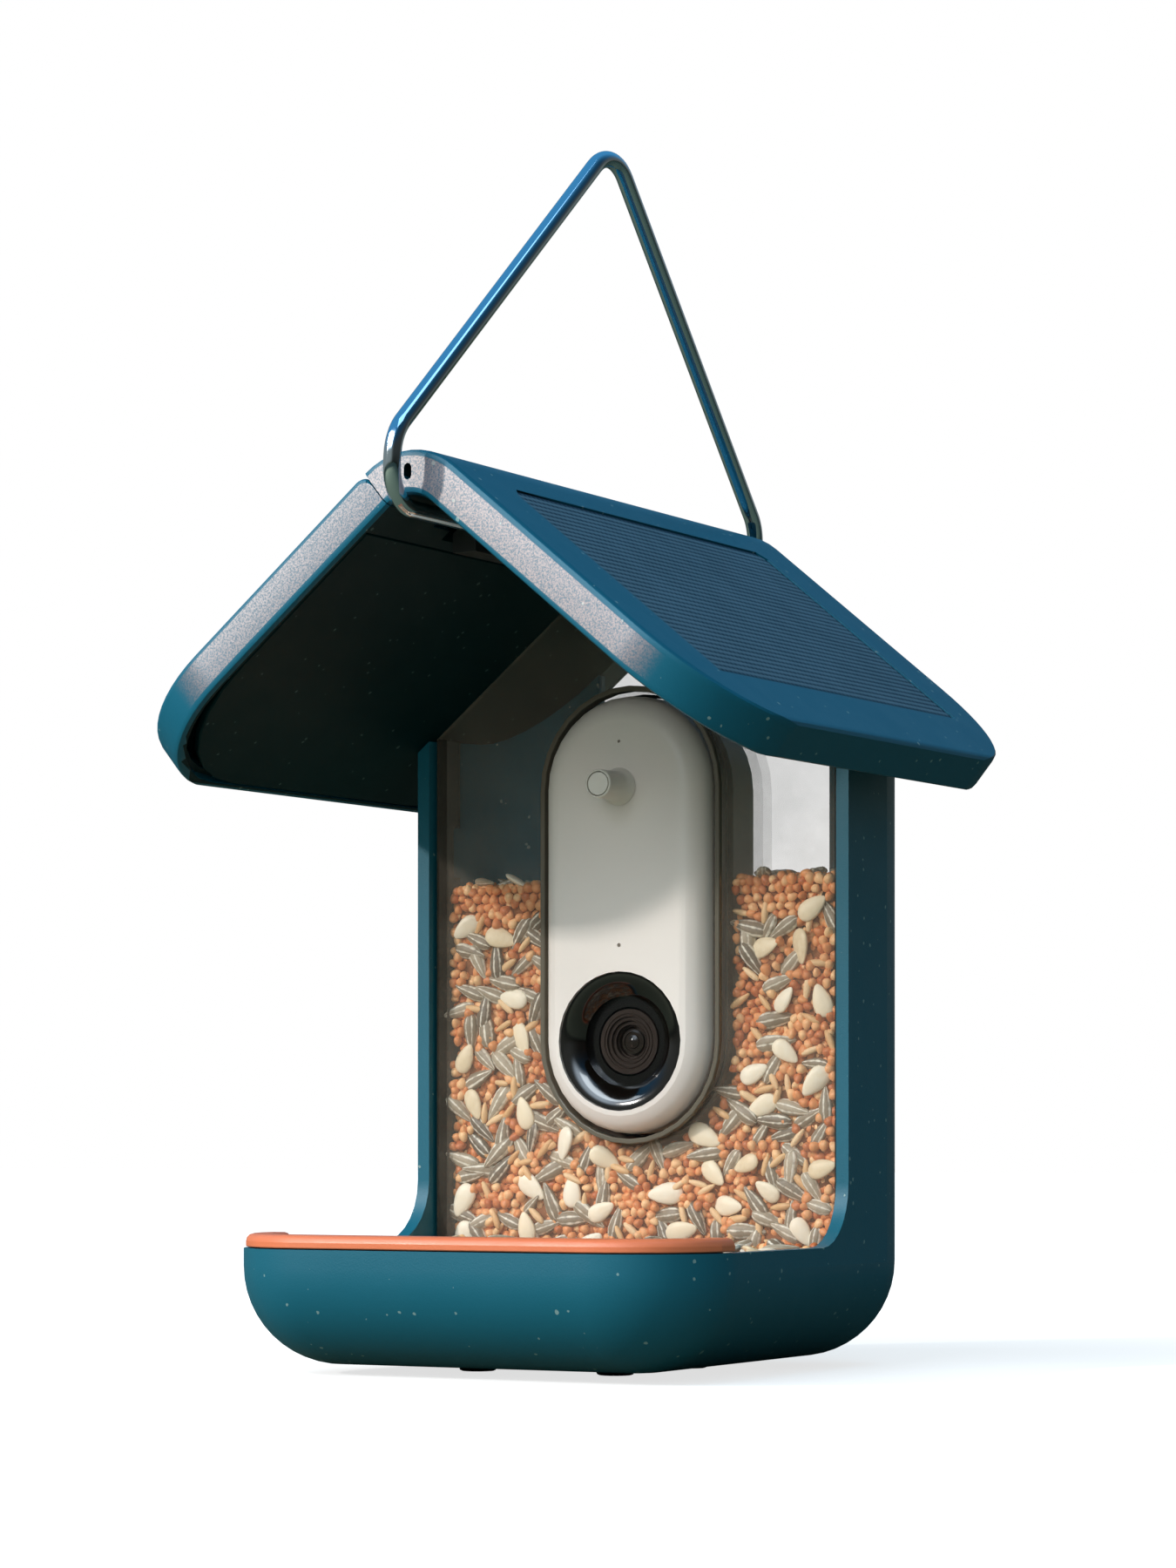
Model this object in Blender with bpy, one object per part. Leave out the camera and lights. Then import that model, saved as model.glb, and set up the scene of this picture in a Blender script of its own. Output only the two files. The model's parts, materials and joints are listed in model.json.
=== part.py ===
# A hanging bird feeder with a camera: house, hopper, tray, lid, hanger and camera module.
# Lengths are in metres, +X is right, +Y is back, +Z is up.
# The origin lies under the middle of the base, level with the underside of the feet.

import math

import bmesh
import bpy
from mathutils import Matrix, Vector

MM = 0.001

# Clearances
GAP = 0.3 * MM
OVERRUN = 20 * MM
MERGE_DISTANCE = 0.001 * MM

# House: one moulding with the base tub, the two side walls and their rear corners
HOUSE_LENGTH = 153 * MM
HOUSE_HALF_WIDTH = 67.3 * MM
PLAN_TAPER_SHARE = 0.0546
PLAN_CORNER_RADIUS = 28.3 * MM
BASE_EDGE_RADIUS = 26 * MM
HOUSE_WALL = 3.7 * MM
FOOT_HEIGHT = 2.5 * MM
RIM_HEIGHT = 33.2 * MM
RIM_SWEEP_RADIUS = 17 * MM
WALL_FRONT_Y = 23.5 * MM
REAR_OPENING_HALF_WIDTH = 37 * MM
REAR_SILL_HEIGHT = 50 * MM

# Roof: outer planes cross at ROOF_APEX, and the ridge is rounded below it
ROOF_PITCH = math.radians(39.4)
ROOF_APEX = 240.2 * MM
ROOF_OVERHANG = 12 * MM
SLOPE_LENGTH = 120.3 * MM
ROOF_THICKNESS = 11.2 * MM
RIDGE_RADIUS = 20.8 * MM
EAVE_CORNER_RADIUS = 36 * MM
ROOF_EDGE_ROUND = 1.8 * MM
ROOF_SKIN = 2.6 * MM
ROOF_RIM_WALL = 2.6 * MM
LINER_LEDGE = 1.8 * MM
LINER_THICKNESS = 2.2 * MM
LINER_SLOT = 0.5 * MM
LINER_CORNER_RADIUS = 44 * MM
ROOF_POCKET_START = 22 * MM
LID_POCKET_START = 27 * MM
GABLE_SLOT_HEIGHT = 4.2 * MM
GABLE_SLOT_WIDTH = 2.2 * MM
GABLE_SLOT_DEPTH = 6 * MM

# Solar panel, sunk in the right slope
SOLAR_START = 23.3 * MM
SOLAR_WIDTH = 77 * MM
SOLAR_LENGTH = 136 * MM
SOLAR_CHAMFER = 3 * MM
SOLAR_BOARD = 1.2 * MM
SOLAR_COVER = 1 * MM
SOLAR_SUNK = 0.3 * MM
SOLAR_BACKING = 1.6 * MM

# Lid hinge: a pin through the lid's ridge edge and two ears of the roof
HINGE_BARREL_RADIUS = 3.2 * MM
HINGE_PIN_RADIUS = 1.5 * MM
HINGE_EAR_WIDTH = 8 * MM
HINGE_EAR_Y = 58 * MM
HINGE_PIN_INSET = 6 * MM
HINGE_EAR_ROOT = 2 * MM
HINGE_CLEARANCE = 0.1 * MM
LID_RELIEF_START = 5 * MM
LID_RELIEF_RUN = 6.6 * MM

# Ridge beam, which holds the hanger wire up against the ridge
BEAM_HALF_WIDTH = 9 * MM
BEAM_DROP = 6.2 * MM
BEAM_FRONT_INSET = 36 * MM
BEAM_REAR_INSET = 4.5 * MM
BEAM_END_CLEARANCE = 1.5 * MM
BEAM_SCREW_X = 6.1 * MM
BEAM_SCREW_INSET = 10 * MM
BEAM_SCREW_COUNT = 4
SCREW_SHANK_RADIUS = 1.1 * MM
SCREW_HEAD_RADIUS = 2.1 * MM
SCREW_HEAD_HEIGHT = 1.5 * MM
BEAM_SCREW_LENGTH = 14 * MM

# Hanger wire
WIRE_RADIUS = 2.25 * MM
WIRE_HEADROOM = 1.4 * MM
WIRE_END_CLEARANCE = 8.5 * MM
WIRE_PEAK = 108.5 * MM
WIRE_SHOULDER = 17.7 * MM
WIRE_CURL_RADIUS = 10.4 * MM
WIRE_SHOULDER_RADIUS = 12 * MM
WIRE_PEAK_RADIUS = 12 * MM
WIRE_END_GAP = 2 * MM
WIRE_LEAN = math.radians(4.5)
WIRE_STEP = 5 * MM
WIRE_SNAP = 0.5 * MM

# Windows
WINDOW_RECESS = 2.5 * MM
WINDOW_THICKNESS = 2.4 * MM
WINDOW_BOTTOM = 30 * MM
WINDOW_FLANGE = 1.8 * MM
WINDOW_FLANGE_DEPTH = 7.5 * MM
CLIP_SLOT_HEIGHT = 14 * MM
CLIP_SLOT_DEPTH = 3.5 * MM
CLIP_SLOT_HEIGHTS = (45 * MM, 96.7 * MM, 142.5 * MM)
REAR_WINDOW_THICKNESS = 2.4 * MM
REAR_WINDOW_INSET = 0.6 * MM

# Camera opening: an upright capsule with half circles about these two heights
CAPSULE_LOW = 88.3 * MM
CAPSULE_HIGH = 157.5 * MM
RING_RADIUS = 28 * MM
POCKET_RADIUS = 26.6 * MM
RING_STAND = 1.6 * MM
POCKET_WALL = 1.8 * MM
POCKET_BACK_Y = 53 * MM
POCKET_HOLE_RADIUS = 6 * MM
SEAL_THICKNESS = 0.8 * MM
SEAL_DEPTH = 3 * MM
SEAL_SETBACK = 4 * MM

# Camera module
MODULE_RADIUS = 25.2 * MM
MODULE_FRONT_Y = 19 * MM
MODULE_SPLIT_Y = 34 * MM
MODULE_BACK_Y = 52 * MM
MODULE_WALL = 2 * MM
MODULE_FRONT_ROUND = 7 * MM
MODULE_BACK_ROUND = 3 * MM
MODULE_SEAM_STRIP = 1.2 * MM
LENS_RADIUS = 18.7 * MM
LENS_STAND = 0.6 * MM
LENS_LIP = 0.8 * MM
LENS_BODY_DEPTH = 8 * MM
LENS_GLASS_RADIUS = 12.1 * MM
LENS_GLASS_THICKNESS = 1.6 * MM
LENS_GLASS_SINK = 3.2 * MM
LENS_LEDGE = 2.9 * MM
BARREL_RADIUS = 8.9 * MM
BARREL_STEP = 2 * MM
BARREL_MOUTH_RADIUS = 4 * MM
LENS_DOME_RADIUS = 3.4 * MM
LENS_DOME_HEIGHT = 1.3 * MM
STEM_RADIUS = 3.95 * MM
STEM_LENGTH = 11.6 * MM
STEM_FLARE = 1.3 * MM
STEM_TAIL = 4 * MM
STEM_CAP_RADIUS = 3.1 * MM
STEM_CAP_DEPTH = 2 * MM
MICROPHONE_RADIUS = 0.45 * MM
MICROPHONE_RISE = 12.3 * MM
LIGHT_HOLE_RADIUS = 0.6 * MM
LIGHT_HOLE_RISE = 26.1 * MM
BOARD_HALF_WIDTH = 15.8 * MM
BOARD_THICKNESS = 1.6 * MM
BOARD_END_MARGIN = 12 * MM
BATTERY_HALF_WIDTH = 17.5 * MM
BATTERY_THICKNESS = 10.5 * MM
BATTERY_HEIGHT = 52 * MM
BATTERY_ROUND = 3 * MM
BOSS_X = 20.4 * MM
BOSS_RADIUS = 3.2 * MM
BOSS_START_Y = 27.6 * MM
MODULE_SCREW_LENGTH = 21 * MM
PORT_HALF_WIDTH = 7 * MM
PORT_HALF_HEIGHT = 4 * MM
PORT_DEPTH = 1.3 * MM
PORT_DROP = 6 * MM
BUTTON_RADIUS = 4 * MM
BUTTON_FLANGE = 1 * MM
BUTTON_FLANGE_HEIGHT = 0.8 * MM
BUTTON_RISE = 8 * MM

# Tray, perch and seed
TRAY_FLOOR_TOP = 20 * MM
TRAY_FLOOR_THICKNESS = 2.5 * MM
RAMP_START_Y = 30 * MM
RAMP_TOP = 47 * MM
TRAY_RIB_Y = 34 * MM
TRAY_RIB_THICKNESS = 2.4 * MM
DRAIN_WIDTH = 2.5 * MM
DRAIN_LENGTH = 18 * MM
DRAIN_PITCH = 17 * MM
DRAIN_COUNT = 3
PERCH_WIDTH = 8 * MM
PERCH_HEIGHT = 3.5 * MM
PERCH_SETBACK = 0.6 * MM
PERCH_CROWN_RADIUS = 2 * MM
PERCH_LIP = 1.5 * MM
PERCH_LIP_DEPTH = 5 * MM
TRAY_SEED_DROP = 2.2 * MM
TRAY_SEED_HEAP = 3 * MM
TRAY_SEED_HEAP_RUN = 9 * MM
HOPPER_SEED_TOP = 133 * MM
SEED_LUMP_PITCH = 16 * MM
SEED_LUMP_DEPTH = 1.8 * MM

# Feet and pole mount
FOOT_RADIUS = 5 * MM
FOOT_X = 21 * MM
FOOT_Y = 20.2 * MM
FOOT_SOCKET = 0.8 * MM
FOOT_ROUND = 0.8 * MM
MOUNT_DISC_RADIUS = 8.7 * MM
MOUNT_DISC_CLEARANCE = 0.3 * MM
MOUNT_SHANK_RADIUS = 5.5 * MM
MOUNT_SHANK_TOP = 12 * MM
INSERT_RADIUS = 4 * MM
INSERT_BORE_RADIUS = 3.18 * MM
INSERT_LENGTH = 9 * MM
BASE_DRAIN_X = 40 * MM
BASE_DRAIN_Y = 6 * MM

# Facets of round shapes
CORNER_STEPS = 7
TUB_STEPS = 12
CAPSULE_STEPS = 16
SMALL_STEPS = 14
RIDGE_STEPS = 10
HINGE_STEPS = 24
QUAD = 4

# Places worked out from the sizes above
SIN_PITCH = math.sin(ROOF_PITCH)
COS_PITCH = math.cos(ROOF_PITCH)
RIDGE_TANGENT = RIDGE_RADIUS * math.tan(ROOF_PITCH)
RIDGE_CENTRE = ROOF_APEX - RIDGE_RADIUS / COS_PITCH
HALF_ROOF = HOUSE_LENGTH / 2 + ROOF_OVERHANG
HINGE_S = RIDGE_TANGENT + GAP + HINGE_BARREL_RADIUS
BASE_FLOOR = FOOT_HEIGHT + HOUSE_WALL
TRAY_SEED_TOP = RIM_HEIGHT - TRAY_SEED_DROP
WINDOW_FRONT_Y = WALL_FRONT_Y + WINDOW_RECESS
WINDOW_BACK_Y = WINDOW_FRONT_Y + WINDOW_THICKNESS
FLANGE_BACK_Y = WINDOW_BACK_Y + WINDOW_FLANGE_DEPTH
WIRE_AXIS_HEIGHT = RIDGE_CENTRE + RIDGE_RADIUS - ROOF_THICKNESS - WIRE_HEADROOM - WIRE_RADIUS
WIRE_REACH = HALF_ROOF + WIRE_END_CLEARANCE
BEAM_BOTTOM = WIRE_AXIS_HEIGHT - BEAM_DROP
BEAM_FRONT = BEAM_FRONT_INSET - HALF_ROOF
BEAM_BACK = HALF_ROOF - BEAM_REAR_INSET
HOUSE_TOP = ROOF_APEX + OVERRUN
FAR = HOUSE_LENGTH
UP_Y = Matrix.Rotation(math.radians(-90), 4, "X")

LEFT, RIGHT = -1, 1


# Scene, materials and objects

def clear_scene():
    for old in list(bpy.data.objects):
        bpy.data.objects.remove(old, do_unlink=True)


def make_material(name, colour, roughness, metallic=0.0, transmission=0.0):
    material = bpy.data.materials.new(name)
    material.use_nodes = True
    shader = material.node_tree.nodes["Principled BSDF"]
    shader.inputs["Base Color"].default_value = (*colour, 1.0)
    shader.inputs["Roughness"].default_value = roughness
    shader.inputs["Metallic"].default_value = metallic
    shader.inputs["Transmission Weight"].default_value = transmission
    material.diffuse_color = (*colour, 1.0)
    return material


def add_object(name, shape, look=None, parent=None):
    # Turn a bmesh into a named object; look is the argument list of make_material
    bmesh.ops.recalc_face_normals(shape, faces=shape.faces)
    mesh = bpy.data.meshes.new(name)
    shape.to_mesh(mesh)
    shape.free()
    item = bpy.data.objects.new(name, mesh)
    bpy.context.collection.objects.link(item)
    if look:
        mesh.materials.append(make_material(name, *look))
        mesh.shade_smooth()
        mesh.set_sharp_from_angle(angle=math.radians(32))
    if parent:
        item.parent = parent
        item.matrix_parent_inverse = Matrix.Translation(-parent.location)
    return item


def add_pivot(name, place):
    # An empty on a joint's axis, the parent of the pieces that move about it
    pivot = bpy.data.objects.new(name, None)
    pivot.location = place
    bpy.context.collection.objects.link(pivot)
    return pivot


def apply_tool(item, operation, tool):
    # Boolean with a hidden tool object; wide faces left by the last one are split first
    tool.hide_render = True
    tool.display_type = "WIRE"
    if item.modifiers:
        split = item.modifiers.new("split wide faces", "TRIANGULATE")
        split.min_vertices = QUAD + 1
    step = item.modifiers.new(operation.lower() + " " + tool.name, "BOOLEAN")
    step.operation = operation
    step.solver = "EXACT"
    step.object = tool


def cut(item, name, *shapes):
    apply_tool(item, "DIFFERENCE", add_object(name, together(*shapes)))


def join(item, name, *shapes):
    apply_tool(item, "UNION", add_object(name, together(*shapes)))


def keep_inside(item, name, *shapes):
    apply_tool(item, "INTERSECT", add_object(name, together(*shapes)))


# Outlines in a plane

def arc(centre, radius, start, end, steps):
    points = []
    for i in range(steps + 1):
        angle = start + (end - start) * i / steps
        points.append((centre[0] + radius * math.cos(angle), centre[1] + radius * math.sin(angle)))
    return points


def rounded(corners, radii, steps):
    # Polygon with an arc of its own radius at each corner
    points = []
    count = len(corners)
    for i, corner in enumerate(corners):
        if not radii[i]:
            points.append(corner)
            continue
        here = Vector(corner)
        back = (Vector(corners[i - 1]) - here).normalized()
        ahead = (Vector(corners[(i + 1) % count]) - here).normalized()
        half = back.angle(ahead) / 2
        middle = here + (back + ahead).normalized() * (radii[i] / math.sin(half))
        first = here + back * (radii[i] / math.tan(half)) - middle
        turn = first.angle_signed(here + ahead * (radii[i] / math.tan(half)) - middle)
        for k in range(steps + 1):
            spoke = Matrix.Rotation(-turn * k / steps, 2) @ first
            points.append(tuple(middle + spoke))
    return points


def capsule(radius, steps=CAPSULE_STEPS):
    # Upright capsule in XZ
    return (arc((0, CAPSULE_HIGH), radius, 0, math.pi, steps)
            + arc((0, CAPSULE_LOW), radius, math.pi, 2 * math.pi, steps))


def box_outline(low_a, high_a, low_b, high_b):
    return [(low_a, low_b), (high_a, low_b), (high_a, high_b), (low_a, high_b)]


# Solids from outlines

def together(*shapes):
    # Several closed shapes in one bmesh
    if len(shapes) == 1:
        return shapes[0]
    whole = bmesh.new()
    for shape in shapes:
        passing = bpy.data.meshes.new("passing")
        shape.to_mesh(passing)
        shape.free()
        whole.from_mesh(passing)
        bpy.data.meshes.remove(passing)
    return whole


def prism(outline, axis, low, high):
    # Outline extruded along a world axis; the outline's pairs are the other two coordinates
    shape = bmesh.new()
    place = {"X": lambda a, b: (low, a, b), "Y": lambda a, b: (a, low, b), "Z": lambda a, b: (a, b, low)}
    along = {"X": (high - low, 0, 0), "Y": (0, high - low, 0), "Z": (0, 0, high - low)}
    face = shape.faces.new([shape.verts.new(place[axis](a, b)) for a, b in outline])
    top = bmesh.ops.extrude_face_region(shape, geom=[face], use_keep_orig=True)
    moved = [part for part in top["geom"] if isinstance(part, bmesh.types.BMVert)]
    bmesh.ops.translate(shape, verts=moved, vec=along[axis])
    bmesh.ops.recalc_face_normals(shape, faces=shape.faces)
    return shape


def block(low, high):
    return prism(box_outline(low[0], high[0], low[1], high[1]), "Z", low[2], high[2])


def loft(rings):
    # Skin through closed rings of equal point count, with a flat cap at each end
    shape = bmesh.new()
    loops = [[shape.verts.new(point) for point in ring] for ring in rings]
    for near, far in zip(loops, loops[1:]):
        for i in range(len(near)):
            shape.faces.new((near[i - 1], near[i], far[i], far[i - 1]))
    shape.faces.new(loops[0])
    shape.faces.new(list(reversed(loops[-1])))
    bmesh.ops.recalc_face_normals(shape, faces=shape.faces)
    return shape


def turned(profile, place, steps=SMALL_STEPS):
    # Closed profile of radius and height, spun about the local Z axis of place
    shape = bmesh.new()
    points = [shape.verts.new((radius, 0, height)) for radius, height in profile]
    edges = []
    for i, point in enumerate(points):
        if point.co.x > MERGE_DISTANCE or points[i - 1].co.x > MERGE_DISTANCE:
            edges.append(shape.edges.new((points[i - 1], point)))
    bmesh.ops.spin(shape, geom=points + edges, cent=(0, 0, 0), axis=(0, 0, 1), dvec=(0, 0, 0),
                   angle=2 * math.pi, steps=steps, use_merge=True, use_duplicate=False)
    bmesh.ops.remove_doubles(shape, verts=shape.verts, dist=MERGE_DISTANCE)
    bmesh.ops.transform(shape, matrix=place, verts=shape.verts)
    bmesh.ops.recalc_face_normals(shape, faces=shape.faces)
    return shape


def rod(radius, low, high, place, steps=SMALL_STEPS):
    return turned([(0, low), (radius, low), (radius, high), (0, high)], place, steps)


def facing_back(x, z):
    # Placement whose local Z axis points along world +Y through this x and z
    return Matrix.Translation((x, 0, z)) @ UP_Y


# House

def half_width(y, inset):
    # The house narrows slightly towards the back
    lean = math.hypot(1, PLAN_TAPER_SHARE)
    return HOUSE_HALF_WIDTH + PLAN_TAPER_SHARE * (WALL_FRONT_Y - y) - inset * lean


def plan_outline(inset, steps=CORNER_STEPS):
    front = -HOUSE_LENGTH / 2 + inset
    back = HOUSE_LENGTH / 2 - inset
    corners = [(-half_width(front, inset), front), (half_width(front, inset), front),
               (half_width(back, inset), back), (-half_width(back, inset), back)]
    return rounded(corners, [PLAN_CORNER_RADIUS - inset] * len(corners), steps)


def tub(inset, low, high):
    # Volume inside the house's skin moved inward by inset, between two heights
    edge = BASE_EDGE_RADIUS - inset
    centre = FOOT_HEIGHT + BASE_EDGE_RADIUS
    start = 0.0
    if low > centre - edge:
        start = math.acos((centre - low) / edge)
    rings = []
    for k in range(TUB_STEPS + 1):
        angle = start + (math.pi / 2 - start) * k / TUB_STEPS
        height = centre - edge * math.cos(angle)
        if height < high:
            outline = plan_outline(inset + edge * (1 - math.sin(angle)))
            rings.append([(x, y, height) for x, y in outline])
    if high > centre:
        rings.append([(x, y, high) for x, y in plan_outline(inset)])
    else:
        slant = math.acos((centre - high) / edge)
        outline = plan_outline(inset + edge * (1 - math.sin(slant)))
        rings.append([(x, y, high) for x, y in outline])
    return loft(rings)


def gable_outline(depth):
    # Everything above the two roof planes moved down by depth, as an XZ outline
    reach = HOUSE_LENGTH
    peak = ROOF_APEX - depth / COS_PITCH
    low = peak - reach * math.tan(ROOF_PITCH)
    return [(-reach, low), (0, peak), (reach, low), (reach, HOUSE_TOP), (-reach, HOUSE_TOP)]


def gable_cut():
    return prism(gable_outline(ROOF_THICKNESS + GAP), "Y", -FAR, FAR)


def front_cut():
    # Clears the space over the tray, with the sweep from the rim up to the side walls
    centre = (WALL_FRONT_Y - RIM_SWEEP_RADIUS, RIM_HEIGHT + RIM_SWEEP_RADIUS)
    sweep = arc(centre, RIM_SWEEP_RADIUS, -math.pi / 2, 0, CORNER_STEPS)
    outline = [(-FAR, RIM_HEIGHT)] + sweep + [(WALL_FRONT_Y, HOUSE_TOP), (-FAR, HOUSE_TOP)]
    return prism(outline, "X", -FAR, FAR)


def foot_places():
    return {"front_left": (-FOOT_X, -FOOT_Y), "front_right": (FOOT_X, -FOOT_Y),
            "rear_left": (-FOOT_X, FOOT_Y), "rear_right": (FOOT_X, FOOT_Y)}


def make_house():
    look = ((0.010, 0.085, 0.130), 0.42)
    house = add_object("house_shell", tub(0, FOOT_HEIGHT, HOUSE_TOP - OVERRUN), look)
    cut(house, "house_inside", tub(HOUSE_WALL, BASE_FLOOR, HOUSE_TOP))
    cut(house, "house_front_space", front_cut())
    cut(house, "house_gable_space", gable_cut())
    rear = HOUSE_LENGTH / 2
    cut(house, "house_rear_opening",
        block((-REAR_OPENING_HALF_WIDTH, rear - HOUSE_WALL - OVERRUN, REAR_SILL_HEIGHT),
              (REAR_OPENING_HALF_WIDTH, rear + OVERRUN, HOUSE_TOP)))
    holes = []
    for x, y in foot_places().values():
        place = Matrix.Translation((x, y, 0))
        holes.append(rod(FOOT_RADIUS + GAP, 0, FOOT_HEIGHT + FOOT_SOCKET, place))
    holes.append(rod(MOUNT_SHANK_RADIUS + GAP, 0, BASE_FLOOR + OVERRUN / 2, Matrix.Identity(4)))
    for side in (LEFT, RIGHT):
        for end in (-1, 1):
            x = side * BASE_DRAIN_X
            y = end * (BASE_DRAIN_Y + DRAIN_LENGTH / 2)
            holes.append(block((x - DRAIN_WIDTH / 2, y - DRAIN_LENGTH / 2, 0),
                               (x + DRAIN_WIDTH / 2, y + DRAIN_LENGTH / 2, BASE_FLOOR + OVERRUN / 2)))
    cut(house, "house_bottom_holes", *holes)


def make_feet_and_mount():
    for name, (x, y) in foot_places().items():
        top = FOOT_HEIGHT + FOOT_SOCKET - GAP
        profile = [(0, 0), (FOOT_RADIUS - FOOT_ROUND, 0)]
        profile += arc((FOOT_RADIUS - FOOT_ROUND, FOOT_ROUND), FOOT_ROUND, -math.pi / 4, 0, 1)
        profile += [(FOOT_RADIUS, top), (0, top)]
        add_object("foot_" + name, turned(profile, Matrix.Translation((x, y, 0))),
                   ((0.012, 0.012, 0.013), 0.75))
    low = MOUNT_DISC_CLEARANCE
    bore_top = low + INSERT_LENGTH + GAP
    profile = [(INSERT_RADIUS + GAP, low), (MOUNT_DISC_RADIUS, low),
               (MOUNT_DISC_RADIUS, FOOT_HEIGHT - GAP), (MOUNT_SHANK_RADIUS, FOOT_HEIGHT - GAP),
               (MOUNT_SHANK_RADIUS, MOUNT_SHANK_TOP), (0, MOUNT_SHANK_TOP), (0, bore_top),
               (INSERT_RADIUS + GAP, bore_top)]
    add_object("mount_boss", turned(profile, Matrix.Identity(4), 2 * SMALL_STEPS),
               ((0.014, 0.014, 0.015), 0.6))
    profile = [(INSERT_BORE_RADIUS, low), (INSERT_RADIUS, low),
               (INSERT_RADIUS, low + INSERT_LENGTH), (INSERT_BORE_RADIUS, low + INSERT_LENGTH)]
    add_object("mount_insert", turned(profile, Matrix.Identity(4), HINGE_STEPS),
               ((0.56, 0.40, 0.17), 0.3, 1.0))


# Windows

def window_outline(half, bottom):
    # House-shaped XZ outline with a notch for the ridge beam
    notch = BEAM_HALF_WIDTH + GAP
    peak = ROOF_APEX - (ROOF_THICKNESS + GAP) / COS_PITCH
    slope = math.tan(ROOF_PITCH)
    floor = BEAM_BOTTOM - GAP
    return [(-half, bottom), (half, bottom), (half, peak - half * slope),
            (notch, peak - notch * slope), (notch, floor), (-notch, floor),
            (-notch, peak - notch * slope), (-half, peak - half * slope)]


def make_windows():
    clear = ((0.92, 0.95, 0.95), 0.05, 0.0, 1.0)
    half = half_width(FLANGE_BACK_Y, HOUSE_WALL) - GAP
    pane = window_outline(half, WINDOW_BOTTOM)
    window = add_object("front_window", prism(pane, "Y", WINDOW_FRONT_Y, WINDOW_BACK_Y), clear)
    join(window, "window_ring", prism(capsule(RING_RADIUS), "Y", WINDOW_FRONT_Y - RING_STAND,
                                      WINDOW_BACK_Y - WINDOW_THICKNESS / 2))
    corner = ROOF_APEX - (ROOF_THICKNESS + GAP) / COS_PITCH - half * math.tan(ROOF_PITCH)
    for side in (LEFT, RIGHT):
        edge = sorted((side * half, side * (half - WINDOW_FLANGE)))
        flange = box_outline(edge[0], edge[1], WINDOW_BOTTOM, corner)
        name = "window_flange_" + ("left" if side == LEFT else "right")
        join(window, name, prism(flange, "Y", WINDOW_BACK_Y - WINDOW_THICKNESS / 2, FLANGE_BACK_Y))
    cut(window, "window_camera_hole",
        prism(capsule(POCKET_RADIUS), "Y", WINDOW_FRONT_Y - OVERRUN, WINDOW_BACK_Y + OVERRUN))
    slots = []
    for height in CLIP_SLOT_HEIGHTS:
        slots.append(block((-half - OVERRUN, FLANGE_BACK_Y - CLIP_SLOT_DEPTH, height - CLIP_SLOT_HEIGHT / 2),
                           (half + OVERRUN, FLANGE_BACK_Y + OVERRUN, height + CLIP_SLOT_HEIGHT / 2)))
    cut(window, "window_clip_slots", *slots)

    back = HOUSE_LENGTH / 2 - REAR_WINDOW_INSET
    pane = window_outline(REAR_OPENING_HALF_WIDTH - GAP, REAR_SILL_HEIGHT + GAP)
    add_object("rear_window", prism(pane, "Y", back - REAR_WINDOW_THICKNESS, back),
               ((0.90, 0.92, 0.90), 0.35, 0.0, 0.8))


def make_pocket():
    front = WINDOW_BACK_Y + GAP
    outer = POCKET_RADIUS + POCKET_WALL
    pocket = add_object("camera_pocket", prism(capsule(outer), "Y", front, POCKET_BACK_Y + POCKET_WALL),
                        ((0.030, 0.034, 0.036), 0.5))
    cut(pocket, "pocket_inside", prism(capsule(POCKET_RADIUS), "Y", front - OVERRUN, POCKET_BACK_Y))
    cut(pocket, "pocket_lead_hole",
        rod(POCKET_HOLE_RADIUS, POCKET_BACK_Y - OVERRUN / 2, POCKET_BACK_Y + OVERRUN,
            facing_back(0, CAPSULE_LOW)))
    low = front + SEAL_SETBACK
    inner = MODULE_RADIUS + GAP
    seal = add_object("pocket_seal", prism(capsule(inner + SEAL_THICKNESS), "Y", low, low + SEAL_DEPTH),
                      ((0.02, 0.02, 0.02), 0.8))
    cut(seal, "seal_inside", prism(capsule(inner), "Y", low - OVERRUN, low + OVERRUN))


# Roof and lid

def slope_frame(side, s):
    # Point on the outer surface at distance s down one slope, and the outward normal there
    normal = Vector((side * SIN_PITCH, 0, COS_PITCH))
    point = Vector((side * s * COS_PITCH, 0, ROOF_APEX - s * SIN_PITCH))
    return point, normal


def slope_point(side, s, y, depth):
    point, normal = slope_frame(side, s)
    return point - normal * depth + Vector((0, y, 0))


def slab_ring(point, normal, half, top, bottom, edge):
    # Ring across the roof: a rectangle from front to back with rounded corners
    ring = []
    outline = rounded(box_outline(-half, half, -bottom, -top), [edge] * 4, 2)
    for y, lift in outline:
        ring.append(point + normal * lift + Vector((0, y, 0)))
    return ring


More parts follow.
